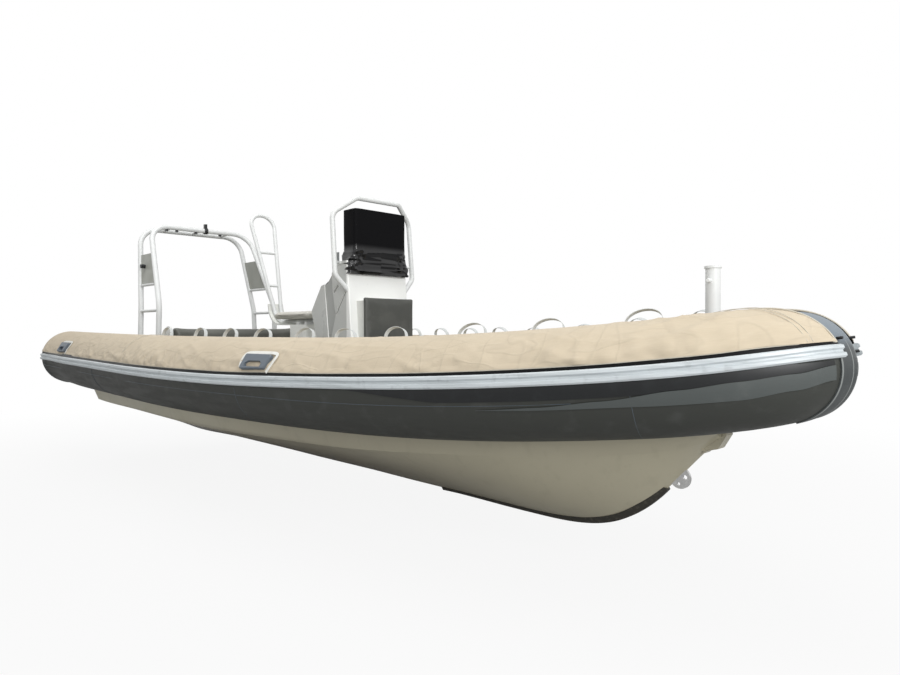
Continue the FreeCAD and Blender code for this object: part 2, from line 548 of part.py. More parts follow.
seat = soft(box(2212, 2780, -150, 150, SEAT_RAIL_Z + FRAME_R + SEAT_GAP, 1192), 20.0)
put("helm_cushion", seat)
leg = V(LOOP_TOP[0] - BEND_X, 0, LOOP_TOP[1] - SEAT_RAIL_Z).normalize()
back_way = V(-leg.z, 0, leg.x)
skew = (1 - leg.x) / leg.z
PAN_T, PAN_HALF, PAN_UP, PAN_END = 14.0, 72.0, 175.0, 2360.0


def pan_line(d):
    top = V(BEND_X, 0, SEAT_RAIL_Z) + leg * PAN_UP + back_way * d
    return [(top.x, top.z), (BEND_X - skew * d, SEAT_RAIL_Z - d), (PAN_END, SEAT_RAIL_Z - d)]


near, far = FRAME_R + SEAT_GAP, FRAME_R + SEAT_GAP + PAN_T
pan = plate(pan_line(near) + list(reversed(pan_line(far))), "Y", -PAN_HALF, PAN_HALF)
for d in (near, far):
    cx, cz = pan_line(d)[1]
    pan = soft(pan, HELM_BEND_R + d, lambda e: abs(e.CenterOfMass.x - cx) < 1
               and abs(e.CenterOfMass.z - cz) < 1)
put("helm_pan", pan)

# Aft bench with its rounded end cheeks, cushion and backrest.
BENCH_Z, BENCH_HALF, BENCH_BACK = 800.0, 650.0, 1078.0
bench = soft(box(1180, 1700, -BENCH_HALF - 18, BENCH_HALF + 18, DECK_Z + DECK_T, BENCH_Z), 30.0,
             lambda e: abs(e.tangentAt(e.FirstParameter).z) > 0.9)
cheek = soft(box(1195, 1350, -BENCH_HALF - 18, -BENCH_HALF - 2, BENCH_Z - 20, BENCH_BACK), 70.0,
             lambda e: abs(e.tangentAt(e.FirstParameter).y) > 0.9 and e.CenterOfMass.z > BENCH_Z)
put("bench_base", bench.fuse(cheek).fuse(port(cheek)).removeSplitter())
put("bench_cushion", soft(box(1330, 1705, -BENCH_HALF + 5, BENCH_HALF - 5, BENCH_Z + SEAT_GAP,
                              BENCH_Z + 90), 24.0))
put("bench_backrest", soft(box(1215, 1325, -BENCH_HALF, BENCH_HALF, BENCH_Z + SEAT_GAP, BENCH_BACK), 30.0))

# A-frame of two hoops tied by rungs and by a plate on each side. A leg is given by its foot, kink and corner.
A_R, A_TIE_R = 25.0, 14.0
FORE = [V(873, -622, DECK_Z), V(893, -607, 1290), V(462, -530, 2108)]
AFT = [V(430, -636, DECK_Z), V(418, -612, 1270), V(204, -541, 2103)]


def hoop(leg):
    path = leg + [V(q.x, -q.y, q.z) for q in reversed(leg)]
    below_deck = box(0, 1500, -1500, 1500, 0, DECK_Z + DECK_T)
    return bent_tube(path, [300.0, 200.0, 200.0, 300.0], A_R).cut(below_deck)


hoops = [hoop(FORE), hoop(AFT)]
put("aframe_fore_hoop", hoops[0])
put("aframe_aft_hoop", hoops[1])


def on_leg(leg, z):
    a, b = leg[:2] if z < leg[1].z else leg[1:]
    return a + (b - a) * ((z - a.z) / (b.z - a.z))


PLATE_Z = (1507.0, 1815.0)
ties = [rod(on_leg(AFT, z), on_leg(FORE, z), A_TIE_R) for z in (740.0, 1235.0, PLATE_Z[0] - 10)]
ties += [rod(V(AFT[2].x, y, AFT[2].z), V(FORE[2].x, y, FORE[2].z), A_TIE_R) for y in (-310.0, 0.0, 310.0)]
side_ties = [max(t.cut(hoops[0]).cut(hoops[1]).Solids, key=lambda q: q.Volume) for t in ties]
put("aframe_rungs", *(side_ties + [port(s) for s in side_ties[:3]]))


def web(leg_a, leg_b, z0, z1):
    half = V(0, 4.0, 0)
    rings = []
    for z in (z0, z1):
        a, b = on_leg(leg_a, z), on_leg(leg_b, z)
        q = [a - half, b - half, b + half, a + half]
        rings.append(Part.makePolygon(q + q[:1]))
    return Part.makeLoft(rings, True, True).cut(hoops[0]).cut(hoops[1])


webs = web(AFT, FORE, PLATE_Z[0] + 5, PLATE_Z[1])
webs = max(webs.Solids, key=lambda s: s.Volume)
put("aframe_plates", webs, port(webs))
lamps = []
LAMP_R, LAMP_H = 15.0, 16.0
for y in (-369.0, -267.0, -67.0, 197.0):
    lamp = Part.makeCylinder(LAMP_R, LAMP_H + A_R, V(FORE[2].x, y, FORE[2].z - A_R - LAMP_H)).cut(hoops[0])
    lamps.append(max(lamp.Solids, key=lambda s: s.CenterOfMass.z * -1))
mid = (on_leg(AFT, 1690.0) + on_leg(FORE, 1690.0)) * 0.5
work = Part.makeCylinder(20.0, 44.0, V(mid.x - 60, mid.y - 48, mid.z), V(0, 1, 0))
work = work.cut(webs)
work = max(work.Solids, key=lambda s: s.Volume)
lamps += [work, port(work)]
clamp = Part.makeCylinder(A_R + 9.0, 34.0, V(FORE[2].x, 20, FORE[2].z), V(0, 1, 0))
clamp = clamp.fuse(box(FORE[2].x - 18, FORE[2].x + 18, 24, 50, FORE[2].z, FORE[2].z + 72))
clamp = clamp.cut(hoops[0])
lamps.append(max(clamp.Solids, key=lambda s: s.Volume))
put("aframe_lamps", *lamps)

# Grab straps: a row of webbing arches along the inboard edge of each cover.
STRAP_X = [1867.0, 2460.0, 2869.0, 3263.0, 3661.0, 4036.0, 4421.0, 4919.0, 5345.0, 5790.0]
STRAP_W, STRAP_T, STRAP_SPAN, STRAP_H, STRAP_SUNK = 38.0, 4.0, 190.0, 84.0, 12.0
STRAP_ANGLE = 102.0
straps = []
for x in STRAP_X:
    c, out, up, r = turned(station_at(x), STRAP_ANGLE)
    fwd = out.cross(up) * -1
    foot = c + out * (r + SEAT_GAP + COVER_T - STRAP_SUNK)
    h = STRAP_SPAN / 2
    outer = Part.Arc(foot - fwd * h, foot + out * STRAP_H, foot + fwd * h).toShape()
    cross = out.cross(fwd)
    start = outer.tangentAt(outer.FirstParameter)
    side_n = start.cross(cross).normalize()
    q = foot - fwd * h
    near_edge, far_edge = q - cross * (STRAP_W / 2), q + cross * (STRAP_W / 2)
    ring = [near_edge, far_edge, far_edge + side_n * STRAP_T, near_edge + side_n * STRAP_T]
    arch = Part.Wire([outer]).makePipeShell([Part.makePolygon(ring + ring[:1])], True, False)
    straps.append(arch.cut(cover).cut(on_tube))
straps = [max(s.Solids, key=lambda q: q.Volume) for s in straps]
put("grab_straps_starboard", *straps)
put("grab_straps_port", *[port(s) for s in straps])

# Moulded carry handles on the outboard side of the covers: a slanted plate with a hand hole under its bar.
HANDLE_X, HANDLE_ANGLE, HANDLE_T = [100.0, 3660.0], 27.5, 26.0
HANDLE_OUTLINE = [(-121, 52), (127, 50), (92, -42), (-140, -50)]
HAND_HOLE = [(-96, -34), (-96, -12), (-70, 4), (44, 4), (62, -12), (56, -34)]
handles = []
for x in HANDLE_X:
    c, out, up, r = turned(station_at(x), HANDLE_ANGLE)
    fwd = out.cross(up) * -1
    across = up
    base = c + out * (r + SEAT_GAP + COVER_T)
    def raised(points, lo, hi):
        ring = [base + fwd * a + across * b + out * lo for a, b in points + points[:1]]
        return Part.Face(Part.makePolygon(ring)).extrude(out * (hi - lo))
    slab = raised(HANDLE_OUTLINE, -30.0, HANDLE_T)
    slab = soft(slab, 16.0, lambda e: abs(e.tangentAt(e.FirstParameter).dot(out)) > 0.9)
    slab = soft(slab, 7.0, lambda e: (e.CenterOfMass - base).dot(out) > HANDLE_T - 1)
    slab = slab.cut(raised(HAND_HOLE, 5.0, HANDLE_T + 5))
    for skin in (cover, track, strake, on_tube):
        slab = slab.cut(skin)
    handles.append(max(slab.Solids, key=lambda s: s.Volume))
put("carry_handles", *(handles + [port(h) for h in handles]))

shift = V(-ORIGIN_X, 0, -WATERLINE)
for name, shape in NODES.items():
    moved = shape.copy()
    moved.translate(shift)
    moved.exportStep("parts/%s.step" % name)
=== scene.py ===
import bpy, bmesh, math, random
from mathutils import Matrix, Vector, noise


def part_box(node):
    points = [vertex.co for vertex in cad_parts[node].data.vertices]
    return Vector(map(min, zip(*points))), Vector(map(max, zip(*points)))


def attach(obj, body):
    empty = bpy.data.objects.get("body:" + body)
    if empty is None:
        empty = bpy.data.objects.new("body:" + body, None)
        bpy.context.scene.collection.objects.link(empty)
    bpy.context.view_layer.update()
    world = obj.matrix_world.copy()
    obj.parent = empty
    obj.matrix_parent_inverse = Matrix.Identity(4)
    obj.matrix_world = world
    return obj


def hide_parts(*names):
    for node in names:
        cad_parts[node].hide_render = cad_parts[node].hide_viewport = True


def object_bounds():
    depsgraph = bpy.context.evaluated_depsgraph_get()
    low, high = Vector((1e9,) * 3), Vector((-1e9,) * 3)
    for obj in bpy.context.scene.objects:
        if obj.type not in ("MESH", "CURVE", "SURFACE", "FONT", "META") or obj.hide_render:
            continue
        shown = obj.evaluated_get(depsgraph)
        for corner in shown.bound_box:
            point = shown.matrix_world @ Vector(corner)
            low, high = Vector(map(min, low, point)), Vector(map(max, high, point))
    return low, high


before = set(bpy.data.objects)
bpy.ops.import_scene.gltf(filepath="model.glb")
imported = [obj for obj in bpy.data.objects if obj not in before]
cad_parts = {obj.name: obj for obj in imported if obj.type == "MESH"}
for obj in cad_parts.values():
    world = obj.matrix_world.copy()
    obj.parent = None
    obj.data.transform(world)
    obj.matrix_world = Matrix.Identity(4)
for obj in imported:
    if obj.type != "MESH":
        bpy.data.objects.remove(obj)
cad_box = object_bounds()
bpy.ops.object.select_all(action="DESELECT")

# The viewpoint: low off the starboard bow, a little above the tubes and about three metres from the nose,
# through a moderately wide lens. Places along the boat are read from the transom, the middle and the base
# line, and ORIGIN takes them to the frame, whose zero is amidships on the waterline.
AMIDSHIPS, WATER = 2.700, 0.385
ORIGIN = Vector((AMIDSHIPS, 0, WATER))
EYE_X, EYE_Y, EYE_Z = 7.227, -2.904, 1.033
EYE_YAW, EYE_PITCH, EYE_ROLL = 0.774, -0.011, -0.003
FILM_WIDE, FOCAL_SHARE = 36.0, 640.0 / 900.0
look = Vector((-math.cos(EYE_YAW) * math.cos(EYE_PITCH), math.sin(EYE_YAW) * math.cos(EYE_PITCH),
               math.sin(EYE_PITCH)))
right = Vector((math.sin(EYE_YAW), math.cos(EYE_YAW), 0))
rise = right.cross(look)
upright, tipped = math.cos(EYE_ROLL), math.sin(EYE_ROLL)
right, rise = upright * right + tipped * rise, upright * rise - tipped * right
bpy.ops.object.camera_add(location=(EYE_X - AMIDSHIPS, EYE_Y, EYE_Z - WATER))
eye = bpy.context.object
eye.rotation_euler = Matrix((right, rise, -look)).transposed().to_euler()
eye.data.sensor_width = FILM_WIDE
eye.data.lens = FILM_WIDE * FOCAL_SHARE
eye.data.clip_start, eye.data.clip_end = 0.05, 200.0
bpy.context.scene.camera = eye


# The room: a pale floor well under the keel, and soft light from all round, most of it from overhead.
# Sums in a material are written on its sockets, wrapped in the class below.
class Flow:
    """A shader socket that can be used in sums; each sum adds its Math node."""

    def __init__(self, tree, socket):
        self.tree, self.socket = tree, socket

    def node(self, kind, settings=None, out=0, **inputs):
        n = self.tree.nodes.new("ShaderNode" + kind)
        for key, value in (settings or {}).items():
            setattr(n, key, value)
        for key, value in inputs.items():
            numbered = key[0] == "i" and key[1:].isdigit()
            port = n.inputs[int(key[1:])] if numbered else n.inputs[key.replace("_", " ")]
            if isinstance(value, Flow):
                self.tree.links.new(value.socket, port)
            elif hasattr(value, "__len__") and port.type == "RGBA" and len(value) == 3:
                port.default_value = tuple(value) + (1.0,)
            else:
                port.default_value = value
        return Flow(self.tree, n.outputs[out])

    def math(self, operation, *others):
        put = {"i%d" % (k + 1): v for k, v in enumerate(others)}
        return self.node("Math", {"operation": operation}, i0=self, **put)

    def __add__(self, o): return self.math("ADD", o)
    def __mul__(self, o): return self.math("MULTIPLY", o)
    def __sub__(self, o): return self.math("SUBTRACT", o)
    __radd__ = __add__

    def axis(self, letter):
        return self.node("SeparateXYZ", out="XYZ".index(letter), Vector=self)

    def ramp(self, lo, hi, a=0.0, b=1.0):
        return self.node("MapRange", {"clamp": True, "interpolation_type": "SMOOTHSTEP"},
                         Value=self, From_Min=lo, From_Max=hi, To_Min=a, To_Max=b)

    def noise(self, scale, detail=3.0, rough=0.5):
        return self.node("TexNoise", Vector=self, Scale=scale, Detail=detail, Roughness=rough)

    def stretch(self, x, y, z):
        return self.node("Mapping", Vector=self, Scale=(x, y, z))


def tint(share, a, b):
    """Colour a, with colour b over it by a share that is a socket."""
    return share.node("MixRGB", Fac=share, Color1=a, Color2=b)


def paint(r, g, b):
    """A colour given as it looks on a screen, in 0 to 255."""
    return tuple(v / 255 / 12.92 if v <= 10 else ((v / 255 + 0.055) / 1.055) ** 2.4 for v in (r, g, b))


def new_finish(name, coordinates="Object"):
    """A bare material: its shader node and the coordinates to draw on."""
    m = bpy.data.materials.new(name)
    m.use_nodes = True
    tree = m.node_tree
    tree.nodes.clear()
    end = tree.nodes.new("ShaderNodeOutputMaterial")
    skin = tree.nodes.new("ShaderNodeBsdfPrincipled")
    tree.links.new(skin.outputs[0], end.inputs["Surface"])
    where = tree.nodes.new("ShaderNodeTexCoord")
    return m, skin, Flow(tree, where.outputs[coordinates])


def lay(skin, bump=None, strength=0.3, depth=0.001, **values):
    """Sets a shader's inputs, from sockets or constants, and its bump in metres."""
    for key, value in values.items():
        port = skin.inputs[key.replace("_", " ")]
        if isinstance(value, Flow):
            value.tree.links.new(value.socket, port)
        else:
            port.default_value = tuple(value) + (1.0,) if hasattr(value, "__len__") else value
    if bump is not None:
        normal = bump.node("Bump", Height=bump, Strength=strength, Distance=depth)
        bump.tree.links.new(normal.socket, skin.inputs["Normal"])


FLOOR_DROP, FLOOR_R = 0.26, 70.0
bpy.ops.mesh.primitive_circle_add(vertices=96, radius=FLOOR_R, fill_type="NGON",
                                  location=(0, 0, cad_box[0][2] - FLOOR_DROP))
floor = bpy.context.object
floor.name = "floor"
m, skin, at = new_finish("pale_floor")
lay(skin, Base_Color=(0.50, 0.50, 0.50), Roughness=0.9)
FADE_FROM, FADE_TO = 2.0, 8.0
far = at.node("VectorMath", {"operation": "LENGTH"}, out=1, i0=at).ramp(FADE_FROM, FADE_TO, 0.90, 1.0)
paths = far.node("LightPath")
seen = Flow(far.tree, paths.socket.node.outputs["Is Camera Ray"])
glow = far.node("Emission", Color=(1, 1, 1), Strength=1.0)
blend = far.node("MixShader", Fac=far * seen).socket.node
far.tree.links.new(skin.outputs[0], blend.inputs[1])
far.tree.links.new(glow.socket, blend.inputs[2])
end = next(n for n in far.tree.nodes if n.type == "OUTPUT_MATERIAL")
far.tree.links.new(blend.outputs[0], end.inputs["Surface"])
floor.data.materials.append(m)

SKY_LIGHT = 0.42
sky = bpy.data.worlds.new("soft_room")
bpy.context.scene.world = sky
sky.use_nodes = True
air = Flow(sky.node_tree, None)
back = sky.node_tree.nodes["Background"]
ray = air.node("LightPath").socket.node
shown = sum(Flow(air.tree, ray.outputs["Is %s Ray" % kind]) for kind in ("Camera", "Glossy", "Transmission"))
level = shown.math("MINIMUM", 1.0) * (1 - SKY_LIGHT) + SKY_LIGHT
air.tree.links.new(level.socket, back.inputs["Strength"])
back.inputs["Color"].default_value = (1, 1, 1, 1)


def lamp(name, place, aim, size, power):
    bpy.ops.object.light_add(type="AREA", location=place)
    l = bpy.context.object
    l.name = name
    l.data.shape, l.data.size, l.data.size_y = "RECTANGLE", size[0], size[1]
    l.data.energy = power
    l.rotation_euler = (Vector(aim) - Vector(place)).to_track_quat("-Z", "Y").to_euler()


lamp("overhead", (0.6, -1.4, 6.5), (0.4, 0, 0), (8.0, 5.0), 290.0)
lamp("ahead", (9.5, -3.0, 3.4), (1.0, 0, 0.3), (4.0, 3.0), 450.0)
bpy.context.scene.view_settings.view_transform = "Standard"


# Hull: a deep V moulding in satin beige gelcoat over glass fibre. Its bottom is coloured darker below the
# chine and darker brown near the keel, as painted shade, and the whole hull is darker towards the bow. A
# rubber guard is glued round its forefoot and a steel eye plate is bolted to the stem.
def dress(finish, *names):
    """Puts a finish on nodes as they were packed."""
    for name in names:
        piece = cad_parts[name]
        if not piece.material_slots:
            piece.data.materials.append(finish)
        for k in range(len(piece.material_slots)):
            piece.material_slots[k].material = finish


def gelcoat(name, colour, grime, rough=0.32):
    """Moulded gelcoat: orange peel, faint cloudiness and a little dirt."""
    m, skin, at = new_finish(name)
    cloud = at.noise(2.3, 4.0).ramp(0.3, 0.7)
    specks = at.noise(34.0, 3.0).ramp(0.62, 0.76)
    tone = tint(cloud * 0.35, colour, tuple(v * 0.9 for v in colour))
    tone = tint(specks * 0.10, tone, grime)
    lay(skin, at.noise(160.0, 1.0), 0.05, 0.0006, Base_Color=tone, Roughness=cloud * 0.12 + rough,
        Coat_Weight=0.25, Coat_Roughness=0.12)
    return m, skin, at, tone


BEIGE, GRIME_AND_SHADE_BROWN, KEEL_SHADE_BROWN = paint(200, 195, 171), paint(124, 115, 97), paint(78, 66, 52)
CHINE_SHADE = (-0.040, -0.062)
m, skin, at, tone = gelcoat("hull_gelcoat", BEIGE, GRIME_AND_SHADE_BROWN)
height, along = at.axis("Z"), at.axis("X")
runs = at.stretch(9.0, 9.0, 0.7).noise(1.6, 3.0).ramp(0.52, 0.74)
tone = tint(runs * 0.12, tone, GRIME_AND_SHADE_BROWN)
# The whole hull darker towards the bow.
tone = tint(along.ramp(-0.8, 1.6) * 0.36, tone, GRIME_AND_SHADE_BROWN)
# Painted shade: the bottom darker below the chine, from amidships aft, fading out towards the bow.
under = height.ramp(*CHINE_SHADE) * along.ramp(1.7, 0.7)
tone = tint(under * 0.34, tone, GRIME_AND_SHADE_BROWN)
# Painted shade: the bottom darker brown towards the keel, amidships and aft.
low = height.ramp(0.0, -0.34) * along.ramp(2.75, 0.2)
tone = tint(low * 0.8, tone, KEEL_SHADE_BROWN)
lay(skin, Base_Color=tone)
dress(m, "hull")

m, skin, at = new_finish("guard_rubber")
scuff = at.noise(60.0, 3.0).ramp(0.5, 0.75)
lay(skin, at.noise(420.0, 2.0), 0.2, 0.0006, Roughness=0.62,
    Base_Color=tint(scuff * 0.4, paint(44, 42, 36), paint(96, 92, 80)))
dress(m, "keel_guard")


def metal(name, colour, rough):
    """Bare metal with a fine brushed grain and duller patches."""
    m, skin, at = new_finish(name)
    brushed = at.stretch(30.0, 30.0, 400.0).noise(3.0, 2.0)
    lay(skin, brushed, 0.08, 0.0003, Base_Color=tint(at.noise(40.0).ramp(0.4, 0.7) * 0.3, colour,
        tuple(v * 0.7 for v in colour)), Metallic=1.0, Roughness=brushed * 0.16 + rough)
    return m


steel = metal("marine_steel", (0.62, 0.62, 0.61), 0.22)
dress(steel, "tow_eye", "locker_hinges", "wheel_boss")


# Buoyancy tube: charcoal coated fabric, glued in panels into three chambers that run in one line round
# the bow, with rounded cones at the stern. Its seams are overlapped and covered by a flat tape.
TUBE_R, TUBE_Y, TUBE_Z = 0.275, 0.970, 0.713
STRAIGHT_END, SIDE_HANDLE, NOSE_HANDLE, NOSE_X = 1.997, 1.186, 0.419, 6.323
SHEER, SHEER_START, SHEER_POWER = 0.167, 3.750, 2.3
STERN_RISE, STERN_FROM, STERN_POWER = 0.032, 3.300, 1.6
NOSE_TAPER, NOSE_PINCH, NOSE_PINCH_Y, PINCH_POWER = 0.109, 0.105, 0.250, 1.5
CONE = [(-0.838, 0.168, 0.028), (-0.806, 0.224, 0.016), (-0.752, 0.263, 0.005), (-0.690, 0.275, 0.0)]
CURVE_FROM = 10.0


def between(table, x, k=1):
    """Smooth value of a table at x."""
    x = min(max(x, table[0][0]), table[-1][0])
    i = max(j for j in range(len(table) - 1) if table[j][0] <= x)
    u = (x - table[i][0]) / (table[i + 1][0] - table[i][0])
    return table[i][k] + (table[i + 1][k] - table[i][k]) * u * u * (3 - 2 * u)


def tube_height(x):
    """Height of the tube's middle line, which rises to the bow and a little to the stern."""
    ahead = min(max((x - SHEER_START) / (NOSE_X - SHEER_START), 0.0), 1.0)
    return (TUBE_Z + SHEER * ahead ** SHEER_POWER
            + STERN_RISE * max(1 - x / STERN_FROM, 0.0) ** STERN_POWER)


def tube_at(s):
    """Centre, outward, up, forward and radius of the starboard tube. Along its straight part s is x forward
    of the transom, and from 10 to 11 it is the way round the bend to the nose."""
    radius, lift = TUBE_R, 0.0
    if s < CURVE_FROM:
        p, d = Vector((s, -TUBE_Y, 0)), Vector((1, 0, 0))
        if s < CONE[-1][0]:
            radius, lift = between(CONE, s, 1), between(CONE, s, 2)
    else:
        t = s - CURVE_FROM
        ends = [Vector((STRAIGHT_END, -TUBE_Y, 0)), Vector((STRAIGHT_END + SIDE_HANDLE, -TUBE_Y, 0)),
                Vector((NOSE_X, -NOSE_HANDLE, 0)), Vector((NOSE_X, 0, 0))]
        weights = ((1 - t) ** 3, 3 * t * (1 - t) ** 2, 3 * t * t * (1 - t), t ** 3)
        p = sum((e * w for e, w in zip(ends, weights)), Vector())
        d = ((ends[1] - ends[0]) * (1 - t) ** 2 + (ends[2] - ends[1]) * 2 * t * (1 - t)
             + (ends[3] - ends[2]) * t * t)
        ahead = min(max((p.x - SHEER_START) / (NOSE_X - SHEER_START), 0.0), 1.0)
        pinch = NOSE_PINCH * max(1 - abs(p.y) / NOSE_PINCH_Y, 0.0) ** PINCH_POWER
        radius = TUBE_R * (1 - NOSE_TAPER * ahead ** 2) * (1 - pinch)
    climb = (tube_height(p.x + 0.001) - tube_height(p.x - 0.001)) / 0.002 * d.x
    p.z = tube_height(p.x) + lift
    d = Vector((d.x, d.y, climb)).normalized()
    out = Vector((d.y, -d.x, 0)).normalized()
    up = out.cross(d)
    up = up if up.z > 0 else -up
    return p - ORIGIN, out, up, d, radius


def crossing(holds, lo, hi, halvings):
    """The place between lo and hi up to which a condition holds."""
    for _ in range(halvings):
        mid = 0.5 * (lo + hi)
        lo, hi = (mid, hi) if holds(mid) else (lo, mid)
    return lo


def along_at(x):
    """The way along the tube at which its centre is x forward of the transom."""
    if x <= STRAIGHT_END:
        return x
    return crossing(lambda way: tube_at(way)[0].x + AMIDSHIPS < x, CURVE_FROM, CURVE_FROM + 1.0, 30)


def on_tube(s, degrees, off):
    """A point of the tube's skin, raised by off; 0 degrees is outboard and 90 the crown."""
    p, out, up, d, r = tube_at(s)
    a = math.radians(degrees)
    return p + (out * math.cos(a) + up * math.sin(a)) * (r + off)


def coated_fabric(name, colour, rough):
    """Rubber coated fabric: its fine weave shows through, with smears and a little chalking."""
    m, skin, at = new_finish(name)
    smear = at.stretch(0.8, 2.0, 5.0).noise(3.0, 4.0, 0.6).ramp(0.35, 0.7)
    chalk = at.noise(11.0, 4.0).ramp(0.52, 0.78)
    tone = tint(smear * 0.25, colour, tuple(v * 1.3 for v in colour))
    tone = tint(chalk * 0.06, tone, paint(150, 152, 150))
    threads = [at.node("TexWave", {"wave_type": "BANDS", "bands_direction": way}, Vector=at, Scale=210.0)
               for way in "XZ"]
    lay(skin, threads[0] + threads[1], 0.06, 0.0004, Base_Color=tone, Roughness=smear * 0.14 + rough)
    return m


charcoal = coated_fabric("tube_fabric", paint(49, 51, 47), 0.46)
dress(charcoal, "tube_port", "tube_starboard", "tube_bow")
nose = coated_fabric("nose_strip", paint(58, 62, 63), 0.42)
skin = next(n for n in nose.node_tree.nodes if n.type == "BSDF_PRINCIPLED")
tone = Flow(nose.node_tree, skin.inputs["Base Color"].links[0].from_socket)
at = Flow(nose.node_tree, next(n for n in nose.node_tree.nodes if n.type == "TEX_COORD").outputs["Object"])
tone = tint(at.axis("Z").ramp(0.56, 0.64), tone, paint(114, 124, 132))
NOSE_BEADS = ((0.104, 0.006), (0.030, 0.004))
aside = at.axis("Y").math("ABSOLUTE")
beads = sum((aside - y).math("ABSOLUTE").ramp(wide, wide / 2) for y, wide in NOSE_BEADS)
tone = tint(beads.math("MINIMUM", 1.0) * at.axis("Z").ramp(0.64, 0.56) * 0.7, tone, paint(150, 154, 152))
lay(skin, Base_Color=tone)
dress(nose, "nose_patch")


def pick(*pieces):
    """Selects these pieces alone, with the first of them active."""
    bpy.ops.object.select_all(action="DESELECT")
    for q in pieces:
        q.select_set(True)
    bpy.context.view_layer.objects.active = pieces[0]


class Editing:
    """Edit mode, with the whole of the active piece selected."""

    def __enter__(self):
        bpy.ops.object.mode_set(mode="EDIT")
        bpy.ops.mesh.select_all(action="SELECT")

    def __exit__(self, *_):
        bpy.ops.object.mode_set(mode="OBJECT")


def tidy_join(name, pieces):
    """Joins meshes into one, with its normals outward and its place in its mesh."""
    pick(*pieces)
    if len(pieces) > 1:
        bpy.ops.object.join()
    joined = bpy.context.object
    bpy.ops.object.transform_apply(location=True, rotation=True, scale=True)
    with Editing():
        bpy.ops.mesh.remove_doubles(threshold=1e-6)
        bpy.ops.mesh.normals_make_consistent(inside=False)
    bpy.ops.object.shade_smooth_by_angle(angle=math.radians(40))
    joined.name = joined.data.name = name
    return joined


def finish_piece(piece, material):
    """Gives a piece of the boat's body its material."""
    piece.data.materials.clear()
    piece.data.materials.append(material)
    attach(piece, "boat")


def round_line(points, radius, sides=3):
    """A round bead along points, drawn as a curve and made a mesh."""
    bpy.ops.curve.primitive_nurbs_path_add(radius=1.0, location=(0, 0, 0))
    bead = bpy.context.object
    bead.data.splines.clear()
    run = bead.data.splines.new("NURBS")
    run.points.add(len(points) - 1)
    for q, where in zip(run.points, points):
        q.co = (*where, 1.0)
    run.order_u, run.use_endpoint_u = 3, True
    bead.data.bevel_depth, bead.data.bevel_resolution = radius, sides
    bead.data.use_fill_caps = True
    bead.data.resolution_u = 4
    pick(bead)
    bpy.ops.object.convert(target="MESH")
    return bpy.context.object


def steps(a, b, n):
    """n even values from a to b."""
    return [a + (b - a) * k / (n - 1) for k in range(n)]


def as_is(point):
    return point


def mirrored(point):
    return Vector((point.x, -point.y, point.z))


SIDES = (("starboard", as_is), ("port", mirrored))
SEAM_ANGLE, SEAM_R, SEAM_FROM, SEAM_BEND = -15.3, 0.0016, -0.66, 0.69
RING_SEAMS = (-0.62, 1.05, CURVE_FROM + 0.30, CURVE_FROM + 0.745)
RING_TOP, RING_FOOT = -6.0, -88.0
seam_finish = coated_fabric("seam_edge", paint(74, 84, 92), 0.4)
seams = []
for _, flip in SIDES:
    ways = steps(SEAM_FROM, STRAIGHT_END, 14)[:-1] + [CURVE_FROM + t for t in steps(0.0, SEAM_BEND, 16)]
    seams.append(round_line([flip(on_tube(way, SEAM_ANGLE, 0.0)) for way in ways], SEAM_R))
    for way in RING_SEAMS:
        ring = [flip(on_tube(way, a, 0.0)) for a in steps(RING_TOP, RING_FOOT, 12)]
        seams.append(round_line(ring, SEAM_R))
finish_piece(tidy_join("tube_seams", seams), seam_finish)


# Rubbing strake and lacing track: an extruded light grey rubber with two ribs is glued along the tube's
# widest line, and over it runs the black track that the cover's edge is laced into.
def old_rubber(name, colour, dirt, share, gloss=0.5):
    """Extruded rubber with dirt run down it and worked into it in spots."""
    m, skin, at = new_finish(name)
    streak = at.stretch(1.2, 1.2, 26.0).noise(2.0, 4.0, 0.6).ramp(0.4, 0.72)
    spots = at.noise(23.0, 4.0).ramp(0.56, 0.75)
    tone = tint(streak * share, colour, dirt)
    tone = tint(spots * share * 0.8, tone, dirt)
    lay(skin, at.noise(500.0, 1.0), 0.1, 0.0004, Base_Color=tone, Roughness=streak * 0.14 + 0.34,
        Specular_IOR_Level=gloss)
    return m


dress(old_rubber("strake_rubber", paint(204, 211, 214), paint(126, 132, 134), 0.3),
      "strake_port", "strake_starboard")
# The track's near-black colour is partly painted shade: it also stands for the shadow in the gap under the
# cover's hem.
dress(old_rubber("track_rubber_and_gap_shade", paint(5, 6, 8), paint(24, 25, 27), 0.25, 0.15), "cover_track")


